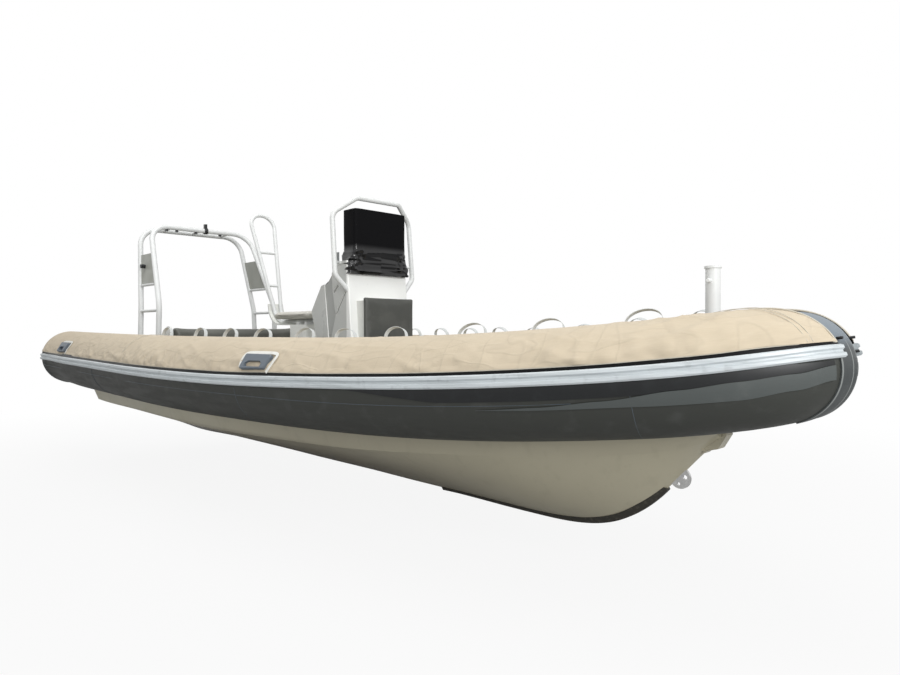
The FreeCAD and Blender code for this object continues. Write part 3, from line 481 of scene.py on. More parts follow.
# Tube covers: one long panel a side of beige woven canvas, cut to the tube, sewn along its hems, laced
# down into the track and pulled up over the crown. It puckers at the lacing and creases along the tube.
def canvas(name, colour):
    """Woven canvas: faded and stained in patches, slubbed, and creased where it has been folded, with
    painted shade darkening its creases.
    """
    m, skin, at = new_finish(name, "UV")
    weft = at.node("TexWave", {"bands_direction": "X"}, Vector=at, Scale=330.0)
    warp = at.node("TexWave", {"bands_direction": "Y"}, Vector=at, Scale=330.0)
    fade = at.noise(2.1, 4.0, 0.6).ramp(0.3, 0.72)
    stain = at.noise(9.0, 5.0, 0.65).ramp(0.55, 0.8)
    slub = at.stretch(6.0, 90.0, 1.0).noise(3.0, 3.0).ramp(0.4, 0.75)
    tone = tint(fade * 0.5, colour, tuple(v * w for v, w in zip(colour, (0.86, 0.85, 0.83))))
    tone = tint(stain * 0.22, tone, paint(170, 158, 136))
    tone = tint(slub * 0.10, tone, paint(236, 226, 206))
    crease = (at.stretch(1.2, 3.4, 1.0).noise(2.3, 1.5) - 0.5).math("ABSOLUTE").ramp(0.0, 0.03, 1.0, 0.0)
    pleat = (at.stretch(2.6, 1.1, 1.0).noise(1.9, 1.0) - 0.5).math("ABSOLUTE").ramp(0.0, 0.022, 1.0, 0.0)
    # Painted shade: the canvas darker along its creases and pleats.
    tone = tint((crease + pleat).math("MINIMUM", 1.0) * 0.16, tone, tuple(v * 0.66 for v in colour))
    lay(skin, (weft + warp + slub * 0.6) * 0.12 + crease + pleat, 0.35, 0.004, Base_Color=tone,
        Roughness=0.86, Sheen_Weight=0.12)
    return m


def sheet_mesh(name, rows, places, thick, turned=False):
    """A cloth from rows of points, with its real distances as UV, given its thickness. A turned one has
    its rows run the other way, so that its outer face is outward."""
    if turned:
        rows, places = [row[::-1] for row in rows], [place[::-1] for place in places]
    n, k = len(rows), len(rows[0])
    verts = [p for row in rows for p in row]
    faces = [(i * k + j, i * k + j + 1, (i + 1) * k + j + 1, (i + 1) * k + j)
             for i in range(n - 1) for j in range(k - 1)]
    mesh = bpy.data.meshes.new(name)
    mesh.from_pydata(verts, [], faces)
    uv = mesh.uv_layers.new(name="UVMap")
    for loop in mesh.loops:
        i, j = divmod(loop.vertex_index, k)
        uv.data[loop.index].uv = places[i][j]
    cloth = bpy.data.objects.new(name, mesh)
    bpy.context.scene.collection.objects.link(cloth)
    pick(cloth)
    wall = cloth.modifiers.new("thickness", "SOLIDIFY")
    wall.thickness, wall.offset = thick, 0.0
    bpy.ops.object.modifier_apply(modifier=wall.name)
    bpy.ops.object.shade_smooth_by_angle(angle=math.radians(60))
    return cloth


STRAKE_CLIMB = [(-1.0, 3.0), (1.997, 3.0), (10.0, 3.0), (10.14, 3.0), (10.27, 3.5), (10.39, 6.5),
                (10.5, 8.5), (10.61, 9.3), (10.71, 9.5), (10.81, 10.5), (10.91, 14.5), (11.0, 17.5)]
COVER_FROM, COVER_TO, COVER_THICK = 11.0, 108.0, 0.0016
TRACK_TALL, TRACK_SHARE, LEAST_OFF = 0.0092, 0.025, 0.0042
COVER_SPAN = math.radians(COVER_TO - COVER_FROM)
COVER_COLS, STRAIGHT_ROWS, BEND_ROWS, BOW_ROWS = 44, 176, 210, 72
STERN_TIP, BOW_TURN, COVER_END_Y = -0.832, CURVE_FROM + 0.70, 0.113
PUCKER_PITCH, PUCKER_DEEP, PUCKER_REACH = 0.105, 0.0064, 0.075
CROWN_PITCH, CROWN_DEEP, CROWN_REACH = 0.12, 0.002, 0.05
LONG_FOLD, SLANT_FOLD, DIP, SAG_FOLD, SAG_REACH = 0.0075, 0.0105, 0.0070, 0.0110, 0.16
STRAP_X = (1.867, 2.460, 2.869, 3.263, 3.661, 4.036, 4.421, 4.919, 5.345, 5.790)
STRAP_PULL, PULL_REACH, PULL_FAR, PULL_NEAR = 0.0065, 0.11, 0.4, 0.04
LAID, FOLD_MEAN, HEM_WIDE, HEM_SHARE = 0.0052, 0.0065, 0.02, 0.35
BOW_SLACK, SLACK_AT, SLACK_REACH = 0.012, CURVE_FROM + 0.90, 0.13
STERN_GATHER, STERN_REACH, BOW_EASE = 1.6, 0.35, 0.6
CALM, CALM_AT, CALM_WIDE = 0.60, 0.82, 0.2


def cover_angle(way, share):
    """Degrees round the tube at a share of the way up the cover, which climbs with the strake."""
    return COVER_FROM + (COVER_TO - COVER_FROM) * share + between(STRAKE_CLIMB, way)


def meets_plane(share, y):
    """The way along the tube at which that line of the cover is y from the middle of the boat."""
    return crossing(lambda way: on_tube(way, cover_angle(way, share), LAID).y < -y,
                    BOW_TURN, CURVE_FROM + 1.0, 22)


def fold(value):
    """A crease from a smooth noise value: sharp at the ridge, soft at its feet."""
    return max(0.0, 1 - abs(value) * 2.6) ** 2


def cover_height(s, v, v_top, seed, pulls):
    """How far the canvas stands off where it is s along and v up from its lower edge."""
    wander = noise.noise(Vector((s * 0.9, 0.0, seed)))
    strength = 0.35 + 0.9 * max(0.0, noise.noise(Vector((s * 1.7, 4.0, seed))) + 0.3)
    edge = math.exp(-v / PUCKER_REACH) * math.sin(2 * math.pi * s / PUCKER_PITCH + 7 * wander)
    hem = math.exp(-(v_top - v) / CROWN_REACH) * math.sin(2 * math.pi * s / CROWN_PITCH + 5 * wander)
    long_fold = fold(noise.noise(Vector((s * 1.5 + v * 2.2, v * 7.0 - s * 0.5, seed + 2)))) * LONG_FOLD
    slant = fold(noise.noise(Vector((s * 5.0 - v * 8.0, v * 3.0, seed + 5)))) * SLANT_FOLD
    slant *= max(0.0, 0.45 + noise.noise(Vector((s * 0.8, 9.0, seed))))
    dip = noise.noise(Vector((s * 2.2, v * 4.0, seed + 8))) * DIP
    sag = fold(noise.noise(Vector((s * 2.6 + v * 5.0, v * 1.2, seed + 11)))) * SAG_FOLD
    sag *= math.exp(-v / SAG_REACH)
    pull = 0.0
    for at in pulls:
        if abs(s - at) < PULL_FAR:
            away = math.hypot(s - at, v_top - v)
            fan = math.cos(7.5 * math.atan2(s - at, v_top - v + 0.02) + 9 * wander)
            pull += STRAP_PULL * fan * math.exp(-away / PULL_REACH) * min(away / PULL_NEAR, 1.0)
    flat_crown = 1.0 - CALM * math.exp(-((v / v_top - CALM_AT) / CALM_WIDE) ** 2)
    return (edge * PUCKER_DEEP * strength + hem * CROWN_DEEP * strength
            + (long_fold + slant + dip + sag + pull) * flat_crown - FOLD_MEAN)


def bow_slack(way, share):
    """How far the cover stands off over the crown near its bow end."""
    near = max(0.0, 1 - abs(way - SLACK_AT) / SLACK_REACH)
    return BOW_SLACK * near ** 1.5 * math.sin(math.pi * share ** 1.4)


beige_canvas = canvas("cover_canvas", paint(205, 191, 167))
shares = steps(0.0, 1.0, COVER_COLS)
ends = [meets_plane(share, COVER_END_Y) for share in shares]
even = steps(STERN_TIP, STRAIGHT_END, STRAIGHT_ROWS) + steps(CURVE_FROM, BOW_TURN, BEND_ROWS)[1:]
cover_ways = [[way] * COVER_COLS for way in even]
cover_ways += [[BOW_TURN + (end - BOW_TURN) * k / BOW_ROWS for end in ends]
               for k in range(1, BOW_ROWS + 1)]
for (side, flip), seed in zip(SIDES, (0.0, 40.0)):
    rows, places, run, last, cut_area = [], [], 0.0, None, 0.0
    pulls = [sum((tube_at(b)[0] - tube_at(a)[0]).length for a, b in zip(even, even[1:]) if b <= along_at(x))
             for x in STRAP_X]
    for ways in cover_ways:
        middle = on_tube(ways[COVER_COLS // 2], cover_angle(ways[COVER_COLS // 2], 0.5), LAID)
        step = 0.0 if last is None else (middle - last).length
        run, last = run + step, middle
        row, place = [], []
        for share, way, end in zip(shares, ways, ends):
            top = COVER_SPAN * tube_at(way)[4]
            v = share * top
            gathered = 1.0 + STERN_GATHER * max(0.0, 1 - run / STERN_REACH)
            gathered -= BOW_EASE * max(0.0, 1 - (end - way) * 5.5)
            rim = HEM_SHARE + (1 - HEM_SHARE) * min(v, top - v, HEM_WIDE) / HEM_WIDE
            h = LAID + cover_height(run, v, top, seed, pulls) * gathered * rim
            h += bow_slack(way, share)
            least = TRACK_TALL if share < TRACK_SHARE else LEAST_OFF
            row.append(flip(on_tube(way, cover_angle(way, share), max(h, least))))
            place.append((run, v))
        cut_area += step * top
        rows.append(row)
        places.append(place)
    cover = sheet_mesh("tube_cover_" + side, rows, places, COVER_THICK, side == "starboard")
    round(run * 1.02, 3)
    round(cut_area * 1.02, 4)
    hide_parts("cover_" + side)
    finish_piece(cover, beige_canvas)


# Cover trim: a bolt rope is sewn into the lower hem and the bow end of each cover, and flat felled seams
# show where two cloths meet.
piping = coated_fabric("hem_piping", paint(196, 190, 176), 0.7)
SEAM_X, SEAM_APART = 1.777, 0.018
BOW_SEAM_Y, BOW_SEAM_SLANT = 0.213, 0.060
ROPE_R, ROPE_OFF, ROPE_IN = 0.0036, 0.0070, 0.003
HEM_R, HEM_OFF, HEM_UNDER = 0.0034, 0.0065, 0.35
CROSS_SEAM, BOW_SEAM = (0.0012, 0.0100), (0.0014, 0.0105)
trim_shares = steps(0.01, 0.99, 22)
lines = [([meets_plane(f, COVER_END_Y + ROPE_IN) for f in trim_shares], ROPE_R, ROPE_OFF)]
for apart in (0.0, SEAM_APART):
    lines.append(([SEAM_X + apart] * len(trim_shares), *CROSS_SEAM))
    lines.append(([meets_plane(f, BOW_SEAM_Y + apart - BOW_SEAM_SLANT * f) for f in trim_shares], *BOW_SEAM))
beads = []
for _, flip in SIDES:
    for ways, radius, off in lines:
        beads.append(round_line([flip(on_tube(way, cover_angle(way, f), off + bow_slack(way, f)))
                                 for way, f in zip(ways, trim_shares)], radius, 2))
    low_hem = [flip(on_tube(ways[0], cover_angle(ways[0], 0.0) - HEM_UNDER, HEM_OFF))
               for ways in cover_ways[6::9]]
    beads.append(round_line(low_hem, HEM_R, 2))
finish_piece(tidy_join("cover_piping", beads), piping)


# Wear patches: under the strake each side of the bow has a wedge of lighter doubling that starts as a point
# and widens forward, rubber glued on the tube. Between it and the strake a near-black band is painted shade:
# the strake's shadow on the tube, laid on as a thin sheet.
WEAR = [(0.600, -19.6, -19.2), (0.66, -20.4, -17.5), (0.715, -20.5, -14.0), (0.79, -21.6, -8.0),
        (0.85, -21.5, -4.6), (0.915, -16.5, -1.2), (0.963, -9.5, 4.5)]
STRAKE_EDGE, BAND_FROM, BAND_TO, BAND_WIDE, BAND_OPENS = -6.95, 0.46, 0.962, 13.0, 0.1
WEAR_OFF, WEAR_THICK, PATCH_ROWS, PATCH_COLS = 0.0050, 0.0014, 60, 12
wear_rubber = coated_fabric("wear_doubling", paint(74, 79, 78), 0.55)
# Painted shade: the strake's shadow on the bow of the tube, given as a near-black sheet.
strake_shadow_finish, skin, at = new_finish("bow_band_rubber")
lay(skin, at.noise(300.0, 1.0), 0.06, 0.0003, Base_Color=tint(at.noise(12.0, 4.0).ramp(0.5, 0.75) * 0.3,
    paint(14, 17, 19), paint(40, 44, 46)), Roughness=0.42)


def band_edges(t):
    """Lower and upper edge of the near-black band of painted shade, in degrees round the tube, at t of the
    bend.
    """
    top = STRAKE_EDGE + between(STRAKE_CLIMB, CURVE_FROM + t)
    low = between(WEAR, t, 2) + 0.5 if t > WEAR[0][0] else top - BAND_WIDE
    return max(low, top - BAND_WIDE * min((t - BAND_FROM) / BAND_OPENS, 1.0)), top


for name, edges, first, final, material in (
        ("wear_patch", lambda t: (between(WEAR, t, 1), between(WEAR, t, 2)), WEAR[0][0], WEAR[-1][0],
         wear_rubber),
        ("bow_band", band_edges, BAND_FROM, BAND_TO, strake_shadow_finish)):
    for side, flip in SIDES:
        rows, places, length, area, mid = [], [], 0.0, 0.0, (PATCH_COLS - 1) // 2
        for t in steps(first, final, PATCH_ROWS):
            row = [flip(on_tube(CURVE_FROM + t, angle, WEAR_OFF)) for angle in steps(*edges(t), PATCH_COLS)]
            wide = (row[-1] - row[0]).length
            if rows:
                step = (row[mid] - rows[-1][mid]).length
                length, area = length + step, area + step * wide
            rows.append(row)
            places.append([(length, v) for v in steps(0.0, wide, PATCH_COLS)])
        broad = max(place[-1][1] for place in places)
        patch = sheet_mesh(name + "_" + side, rows, places, WEAR_THICK, side == "starboard")
        round(broad * 1.03, 4)
        round(length * 1.02, 3)
        round(area * 1.03, 4)
        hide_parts("bow_wear")
        finish_piece(patch, material)


# Nose buttons: two small black plastic studs a side, pressed through the nose strip to hold its end.
def soft_edges(width):
    """The piece just made, with its edges rounded off."""
    with Editing():
        bpy.ops.mesh.bevel(offset=width, segments=2)
    return bpy.context.object


BUTTONS = [(6.508, -0.085, 1.000), (6.520, -0.100, 0.944)]
BUTTON_R, BUTTON_LONG, BUTTON_TILT, BUTTON_TURN = 0.006, 0.024, math.radians(82), math.radians(-16)
SOFT_EDGE = 0.002
buttons = []
for x, y, z in BUTTONS:
    for side in (1, -1):
        bpy.ops.mesh.primitive_cylinder_add(vertices=18, radius=BUTTON_R, depth=BUTTON_LONG,
                                            location=(x - AMIDSHIPS, y * side, z - WATER),
                                            rotation=(0, BUTTON_TILT, BUTTON_TURN * side))
        buttons.append(soft_edges(SOFT_EDGE))
black_plastic, skin, at = new_finish("black_plastic")
lay(skin, at.noise(300.0, 2.0), 0.1, 0.0004, Base_Color=tint(at.noise(30.0).ramp(0.5, 0.75) * 0.3,
    paint(24, 25, 27), paint(60, 62, 64)), Roughness=at.noise(12.0).ramp(0.3, 0.7, 0.34, 0.5))
finish_piece(tidy_join("nose_buttons", buttons), black_plastic)


# Grab straps: short arches of pale polyester webbing, sewn down at both ends along the inboard edge of the
# covers, each a little out of line with the next.
def webbing(name, colour):
    """Woven webbing: ribs along it, finer ones across, a little worn."""
    m, skin, at = new_finish(name, "UV")
    ribs = at.node("TexWave", {"bands_direction": "X"}, Vector=at, Scale=260.0)
    cross = at.node("TexWave", {"bands_direction": "Y"}, Vector=at, Scale=120.0)
    worn = at.noise(40.0, 4.0).ramp(0.45, 0.75)
    lay(skin, ribs + cross * 0.5, 0.3, 0.0007, Roughness=0.8,
        Base_Color=tint(worn * 0.3, colour, tuple(v * 0.72 for v in colour)))
    return m


STRAP_SHIFT = {"starboard": 0.030, "port": 0.100}
STRAP_ANGLE, STRAP_WIDE, STRAP_SPAN, STRAP_RISE, STRAP_THICK = 99.0, 0.026, 0.166, 0.066, 0.0026
STRAP_OFF, STRAP_FOOT, STRAP_ROWS, STRAP_COLS = 0.0075, 1.28, 29, 5
pale_webbing = webbing("strap_webbing", paint(206, 209, 208))
random.seed(11)
for side, flip in SIDES:
    for number, x in enumerate(STRAP_X, 1):
        s = along_at(x + STRAP_SHIFT[side])
        p, out, up, d, r = tube_at(s)
        a = math.radians(STRAP_ANGLE + between(STRAKE_CLIMB, s) + random.uniform(-1.2, 1.2))
        normal = out * math.cos(a) + up * math.sin(a)
        foot = p + normal * (r + STRAP_OFF)
        lean = random.uniform(-0.012, 0.012)
        span, tall = STRAP_SPAN * random.uniform(0.92, 1.04), STRAP_RISE * random.uniform(0.9, 1.08)
        across = d.cross(normal).normalized()
        rows, places, length = [], [], 0.0
        for u in steps(-STRAP_FOOT, STRAP_FOOT, STRAP_ROWS):
            flat = max(abs(u) - 1.0, 0.0)
            arch = min(max(u, -1), 1) * math.pi / 2
            x_off = (math.sin(arch) * 0.5 + math.copysign(flat, u)) * span
            z_off = math.cos(arch) ** 0.85 * tall
            centre = foot + d * (x_off + lean * z_off / tall) + normal * z_off
            if rows:
                length += (centre - previous).length
            previous = centre
            rows.append([flip(centre + across * v)
                         for v in steps(-STRAP_WIDE / 2, STRAP_WIDE / 2, STRAP_COLS)])
            places.append([(length, v) for v in steps(0.0, STRAP_WIDE, STRAP_COLS)])
        strap = sheet_mesh("grab_strap_%s_%d" % (side, number), rows, places, STRAP_THICK,
                           side == "starboard")
        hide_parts("grab_straps_" + side)
        finish_piece(strap, pale_webbing)


# Carry handles: moulded blue-grey rubber plates with a hand hole under the bar, glued through a cut-out in
# the cover whose edge is bound in white.
dress(coated_fabric("handle_rubber", paint(98, 107, 116), 0.40), "carry_handles")
HANDLE_X, HANDLE_ANGLE = (0.100, 3.660), 27.5
BINDING = [(-0.156, -0.030), (-0.160, 0.010), (-0.156, 0.044), (-0.138, 0.064), (-0.060, 0.067),
           (0.060, 0.067), (0.128, 0.066), (0.152, 0.054), (0.150, 0.030), (0.124, -0.030), (0.106, -0.056)]
BINDING_WIDE, BINDING_OFF, BINDING_THICK, BINDING_COLS = 0.020, 0.0125, 0.0026, 5
CORNER_CUTS, POINTS_KEPT = 4, 3
white_binding, skin, at = new_finish("white_binding", "UV")
lay(skin, at.noise(220.0, 2.0), 0.2, 0.0005, Base_Color=tint(at.noise(26.0).ramp(0.5, 0.75) * 0.3,
    paint(232, 232, 226), paint(178, 174, 162)), Roughness=0.6)


def round_the_bend(points):
    """Points and inward ways along a softened outline, for a band of even width."""
    line = [Vector(q) for q in points]
    for _ in range(CORNER_CUTS):
        finer = [line[0]]
        for a, b in zip(line, line[1:]):
            finer += [a * 0.75 + b * 0.25, a * 0.25 + b * 0.75]
        line = finer + [line[-1]]
    turned = []
    for k, q in enumerate(line):
        along_it = (line[min(k + 1, len(line) - 1)] - line[max(k - 1, 0)]).normalized()
        turned.append((q, Vector((along_it.y, -along_it.x))))
    return turned[::POINTS_KEPT]


number = 0
for x in HANDLE_X:
    s = along_at(x)
    for side, flip in SIDES:
        number += 1
        rows, places, length, mid = [], [], 0.0, BINDING_COLS // 2
        for q, inward in round_the_bend(BINDING):
            row = []
            for v in steps(-BINDING_WIDE / 2, BINDING_WIDE / 2, BINDING_COLS):
                spot = q + inward * v
                way = s + spot.x if s < CURVE_FROM else along_at(x + spot.x * tube_at(s)[3].x)
                row.append(flip(on_tube(way, HANDLE_ANGLE + math.degrees(spot.y / TUBE_R), BINDING_OFF)))
            if rows:
                length += (row[mid] - rows[-1][mid]).length
            rows.append(row)
            places.append([(length, v) for v in steps(0.0, BINDING_WIDE, BINDING_COLS)])
        band = sheet_mesh("handle_binding_%d" % number, rows, places, BINDING_THICK, side == "port")
        finish_piece(band, white_binding)


# Inside of the boat: a grey sole with a non-slip grain, and white mouldings round and on it, which are the
# coamings, the transom, the foredeck with its locker and lid, and the seats' boxes.
m, skin, at = new_finish("deck_nonslip")
grain = at.node("TexVoronoi", Vector=at, Scale=260.0)
trodden = at.noise(3.0, 4.0).ramp(0.4, 0.7)
lay(skin, grain, 0.6, 0.001, Base_Color=tint(trodden * 0.4, paint(176, 176, 170), paint(142, 140, 132)),
    Roughness=0.78)
dress(m, "deck_panel")
white_gel, _, _, _ = gelcoat("white_gelcoat", paint(232, 233, 228), paint(176, 172, 160), 0.28)
dress(white_gel, "transom_board", "coamings", "foredeck", "locker_lid", "front_seat_box", "helm_pod",
      "helm_pan", "bench_base")


# A-frame, rails and post: welded tube and plate, painted, with worn spots. The frame's two hoops stand on
# bolted feet, and four small lamps with clear glasses hang from its top bar.
def painted_metal(name, colour, chip, rough=0.34):
    """Paint on metal, dulled in patches and chipped in spots."""
    m, skin, at = new_finish(name)
    dull = at.noise(7.0, 3.0).ramp(0.35, 0.7)
    chips = at.noise(48.0, 3.0, 0.6).ramp(0.70, 0.74)
    tone = tint(dull * 0.3, colour, tuple(v * 0.88 for v in colour))
    lay(skin, at.noise(260.0, 1.0), 0.05, 0.0003, Base_Color=tint(chips * 0.5, tone, chip),
        Roughness=dull * 0.15 + rough)
    return m


white_paint = painted_metal("white_frame_paint", paint(232, 234, 233), paint(150, 152, 150))
dress(white_paint, "bow_post", "aframe_fore_hoop", "aframe_aft_hoop", "aframe_rungs", "console_rail",
      "helm_frame")
dress(painted_metal("grey_plate_paint", paint(168, 170, 162), paint(120, 122, 118), 0.4), "aframe_plates")
dress(black_plastic, "aframe_lamps")
BAR_X, BAR_Z, LAMP_Y = 0.462, 2.108, (-0.369, -0.267, -0.067, 0.197)
LENS_R, LENS_FLAT, LENS_DROP = 0.012, 0.35, 0.041
lenses = []
for y in LAMP_Y:
    bpy.ops.mesh.primitive_uv_sphere_add(segments=18, ring_count=8, radius=LENS_R,
                                         location=(BAR_X - AMIDSHIPS, y, BAR_Z - WATER - LENS_DROP))
    with Editing():
        bpy.ops.transform.resize(value=(1, 1, LENS_FLAT))
    lenses.append(bpy.context.object)
clear, skin, at = new_finish("lamp_glass")
lay(skin, at.noise(90.0, 1.0), 0.05, 0.0002, Base_Color=tint(at.noise(60.0).ramp(0.4, 0.6) * 0.3,
    paint(206, 210, 212), paint(150, 156, 160)), Roughness=0.12)
finish_piece(tidy_join("lamp_lenses", lenses), clear)
SOLE, HOOP_FEET = 0.506 - WATER, [(0.873, 0.622), (0.430, 0.636)]
FOOT_R, FOOT_THICK, BOLTS, BOLT_CIRCLE, BOLT_R, BOLT_TALL = 0.056, 0.008, 4, 0.042, 0.006, 0.006
feet = []
for x, y in HOOP_FEET:
    for side in (1, -1):
        at = Vector((x - AMIDSHIPS, y * side, SOLE + FOOT_THICK / 2))
        bpy.ops.mesh.primitive_cylinder_add(vertices=40, radius=FOOT_R, depth=FOOT_THICK, location=at)
        feet.append(soft_edges(SOFT_EDGE))
        for k in range(BOLTS):
            a = 2 * math.pi * (k + 0.5) / BOLTS
            bolt = at + Vector((BOLT_CIRCLE * math.cos(a), BOLT_CIRCLE * math.sin(a),
                                (FOOT_THICK + BOLT_TALL) / 2))
            bpy.ops.mesh.primitive_cylinder_add(vertices=6, radius=BOLT_R, depth=BOLT_TALL, location=bolt)
            feet.append(bpy.context.object)
finish_piece(tidy_join("hoop_feet", feet), white_paint)


# Console: one white moulding, its sides pressed in between the ribs. The sides are coloured grey and the
# pressed-in panels darker, as painted shade. The dials are black rings let into the sloping dash, and the
# wheel and the lever are black plastic.
m, skin, at, tone = gelcoat("console_gelcoat", paint(250, 251, 248), paint(214, 213, 206), 0.26)
SIDE_FACE, SUNK_FACE, FACE_EDGE = 0.2680, 0.2590, (0.0016, 0.0010)
PANEL_FRONT, PANEL_TOP = (0.792, 0.780), (1.06, 1.04)
aside, behind = at.axis("Y").math("ABSOLUTE"), at.axis("X").ramp(*PANEL_FRONT)
side_shade, pocket_shade = [(aside - y).math("ABSOLUTE").ramp(*FACE_EDGE) for y in (SIDE_FACE, SUNK_FACE)]
# Painted shade: the sides grey and their pressed-in panels a darker grey, behind the white front.
tone = tint(side_shade * behind * 0.9, tone, paint(186, 188, 184))
tone = tint(pocket_shade * behind * at.axis("Z").ramp(*PANEL_TOP) * 0.9, tone, paint(150, 152, 148))
lay(skin, Base_Color=tone)
dress(m, "console")
smoke, skin, at = new_finish("smoked_screen")
lay(skin, at.noise(40.0, 1.0), 0.03, 0.0002, Base_Color=tint(at.noise(14.0).ramp(0.4, 0.7) * 0.2,
    paint(120, 124, 124), paint(150, 152, 150)), Roughness=0.1)
dress(smoke, "windscreen_ends")
dress(black_plastic, "throttle", "steering_wheel")

DASH_LOW, DASH_HIGH = Vector((3.031, 0, 1.178)), Vector((3.167, 0, 1.367))
dash_way = (DASH_HIGH - DASH_LOW).normalized()
dash_out = Vector((-dash_way.z, 0, dash_way.x))
dial_spin = dash_out.to_track_quat("Z", "Y").to_euler()
DIALS = ((0.168, -0.205, 0.042), (0.168, 0.100, 0.030), (0.060, -0.205, 0.030))
DIAL_OUT, DIAL_DEEP, DIAL_RIM, DIAL_SUNK = 0.004, 0.010, 0.14, 0.004
dials = []
for along_dash, y, size in DIALS:
    spot = DASH_LOW + dash_way * along_dash + dash_out * DIAL_OUT - ORIGIN
    spot.y = y
    bpy.ops.mesh.primitive_cylinder_add(vertices=40, radius=size, depth=DIAL_DEEP, location=spot,
                                        rotation=dial_spin)
    ring = bpy.context.object
    with Editing():
        bpy.ops.mesh.select_mode(type="FACE")
        bpy.ops.mesh.select_all(action="DESELECT")
        edit = bmesh.from_edit_mesh(ring.data)
        max(edit.faces, key=lambda f: (f.normal.z, f.calc_area())).select_set(True)
        bmesh.update_edit_mesh(ring.data)
        bpy.ops.mesh.inset(thickness=size * DIAL_RIM)
        bpy.ops.transform.translate(value=(0, 0, -DIAL_SUNK), orient_type="NORMAL")
    dials.append(ring)
finish_piece(tidy_join("dash_dials", dials), black_plastic)


# Screen cover: a black coated cloth bag over the screen. Its top is flat with a rounded edge, it hangs plumb
# to a drawn-in neck, and from there it creases and flares over the console's top and down its front.
SHROUD_TOP, SHROUD_NECK, SHROUD_FOOT = 1.907, 1.600, 1.437
SHROUD_AFT, SHROUD_FRONT, SHROUD_HALF = 3.390, 3.548, 0.234
SHROUD_THICK, SHROUD_AROUND, SHROUD_DOWN, TOP_RINGS = 0.0014, 120, 54, 10
TOP_INSET, TOP_EDGE, CORNER_POWER, DEEPEST_INSET = 0.205, 0.012, 2 / 9, 0.068
FLARE_SIDE, FLARE_AFT, FLARE_AFT_FROM, FRONT_IN = 0.036, 0.088, 0.36, 0.012
CREASE, FINE_CREASE, EASE, DRAWN_IN, NECK_ABOVE, NECK_BLEND = 0.016, 0.008, 0.003, 0.006, 0.02, 0.05
FRONT_MOST, CORNER_X, CORNER_Y = 3.556, 0.05, 0.19
CONSOLE_TOP, CONSOLE_FRONT, CONSOLE_LEAN, CONSOLE_HALF, CONSOLE_MID = 1.530, 3.5045, 0.0860, 0.270, 3.45
TOP_GAP, CELL_WIDE, CELL_TALL = 0.006, 0.011, 0.012


def shroud_ring(z):
    """Half width, aft and front of the cover at height z: it hangs plumb, then flares below the neck."""
    flare = max(0.0, (SHROUD_NECK - z) / (SHROUD_NECK - SHROUD_FOOT))
    front = SHROUD_FRONT - FRONT_IN * min(flare * 3, 1.0)
    aft = SHROUD_AFT + FLARE_AFT * max(0.0, flare - FLARE_AFT_FROM) / (1 - FLARE_AFT_FROM)
    return SHROUD_HALF + FLARE_SIDE * flare ** 0.7, aft, front


def shroud_point(turn, z, inset=0.0):
    """A point of the cover a share of the way round it, on a box with rounded corners."""
    half, aft, front = shroud_ring(z)
    half, mid, deep = half - inset, 0.5 * (aft + front), 0.5 * (front - aft) - min(inset, DEEPEST_INSET)
    wide, long = math.sin(2 * math.pi * turn), math.cos(2 * math.pi * turn)
    return Vector((mid + math.copysign(abs(long) ** CORNER_POWER, long) * deep,
                   math.copysign(abs(wide) ** CORNER_POWER, wide) * half, z))


def creased(q, z):
    """A point q of the hanging part at height z, with its folds, kept off the console's top and front."""
    crush = min(max((SHROUD_NECK + NECK_ABOVE - z) / NECK_BLEND, 0.0), 1.0)
    crush *= min((z - SHROUD_FOOT) / 0.03 + 0.25, 1.0)
    place = Vector((q.x * 9, q.y * 9, z * 22))
    crease = fold(noise.noise(place)) * CREASE + fold(noise.noise(place * 1.9)) * FINE_CREASE
    ease = noise.noise(Vector((q.x * 6, q.y * 5, z * 5))) * EASE
    away = q - Vector((0.5 * (SHROUD_AFT + SHROUD_FRONT), 0, z))
    away = Vector((0 if abs(away.x) < CORNER_X else math.copysign(1, away.x),
                   0 if abs(away.y) < CORNER_Y else math.copysign(1, away.y), 0)).normalized()
    q += away * (crease * crush - DRAWN_IN * crush + ease)
    q.x = min(q.x, FRONT_MOST)
    if z < CONSOLE_TOP + TOP_GAP and q.x > CONSOLE_MID and abs(q.y) < CONSOLE_HALF:
        q.x = max(q.x, CONSOLE_FRONT + (CONSOLE_TOP - z) * CONSOLE_LEAN)
    return q


rows, places = [], []
for i in range(SHROUD_DOWN + 1):
    row, place = [], []
    for k in range(SHROUD_AROUND + 1):
        turn = (k % SHROUD_AROUND) / SHROUD_AROUND
        if i <= TOP_RINGS:
            q = shroud_point(turn, SHROUD_TOP, TOP_INSET * (1 - i / TOP_RINGS))
            q.z = SHROUD_TOP - TOP_EDGE * (i / TOP_RINGS) ** 6
        else:
            down = (i - TOP_RINGS) / (SHROUD_DOWN - TOP_RINGS)
            side_top = SHROUD_TOP - TOP_EDGE
            z = side_top - (side_top - SHROUD_FOOT) * down
            q = creased(shroud_point(turn, z), z)
        row.append(q - ORIGIN)
        place.append((k * CELL_WIDE, i * CELL_TALL))
    rows.append(row)
    places.append(place)
m, skin, at = new_finish("shroud_fabric", "UV")
rub = at.noise(18.0, 4.0).ramp(0.5, 0.8)
threads = at.node("TexWave", {"bands_direction": "X"}, Vector=at, Scale=300.0)
NECK_AT = (0.40, 0.46)
lay(skin, threads, 0.08, 0.0004, Base_Color=tint(rub * 0.2, paint(3, 3, 5), paint(14, 15, 18)),
    Roughness=at.axis("Y").ramp(*NECK_AT, 0.75, 0.24), Specular_IOR_Level=0.12,
    Coat_Weight=at.axis("Y").ramp(*NECK_AT, 0.0, 0.9), Coat_Roughness=0.14)
shroud = sheet_mesh("screen_shroud", rows, places, SHROUD_THICK)
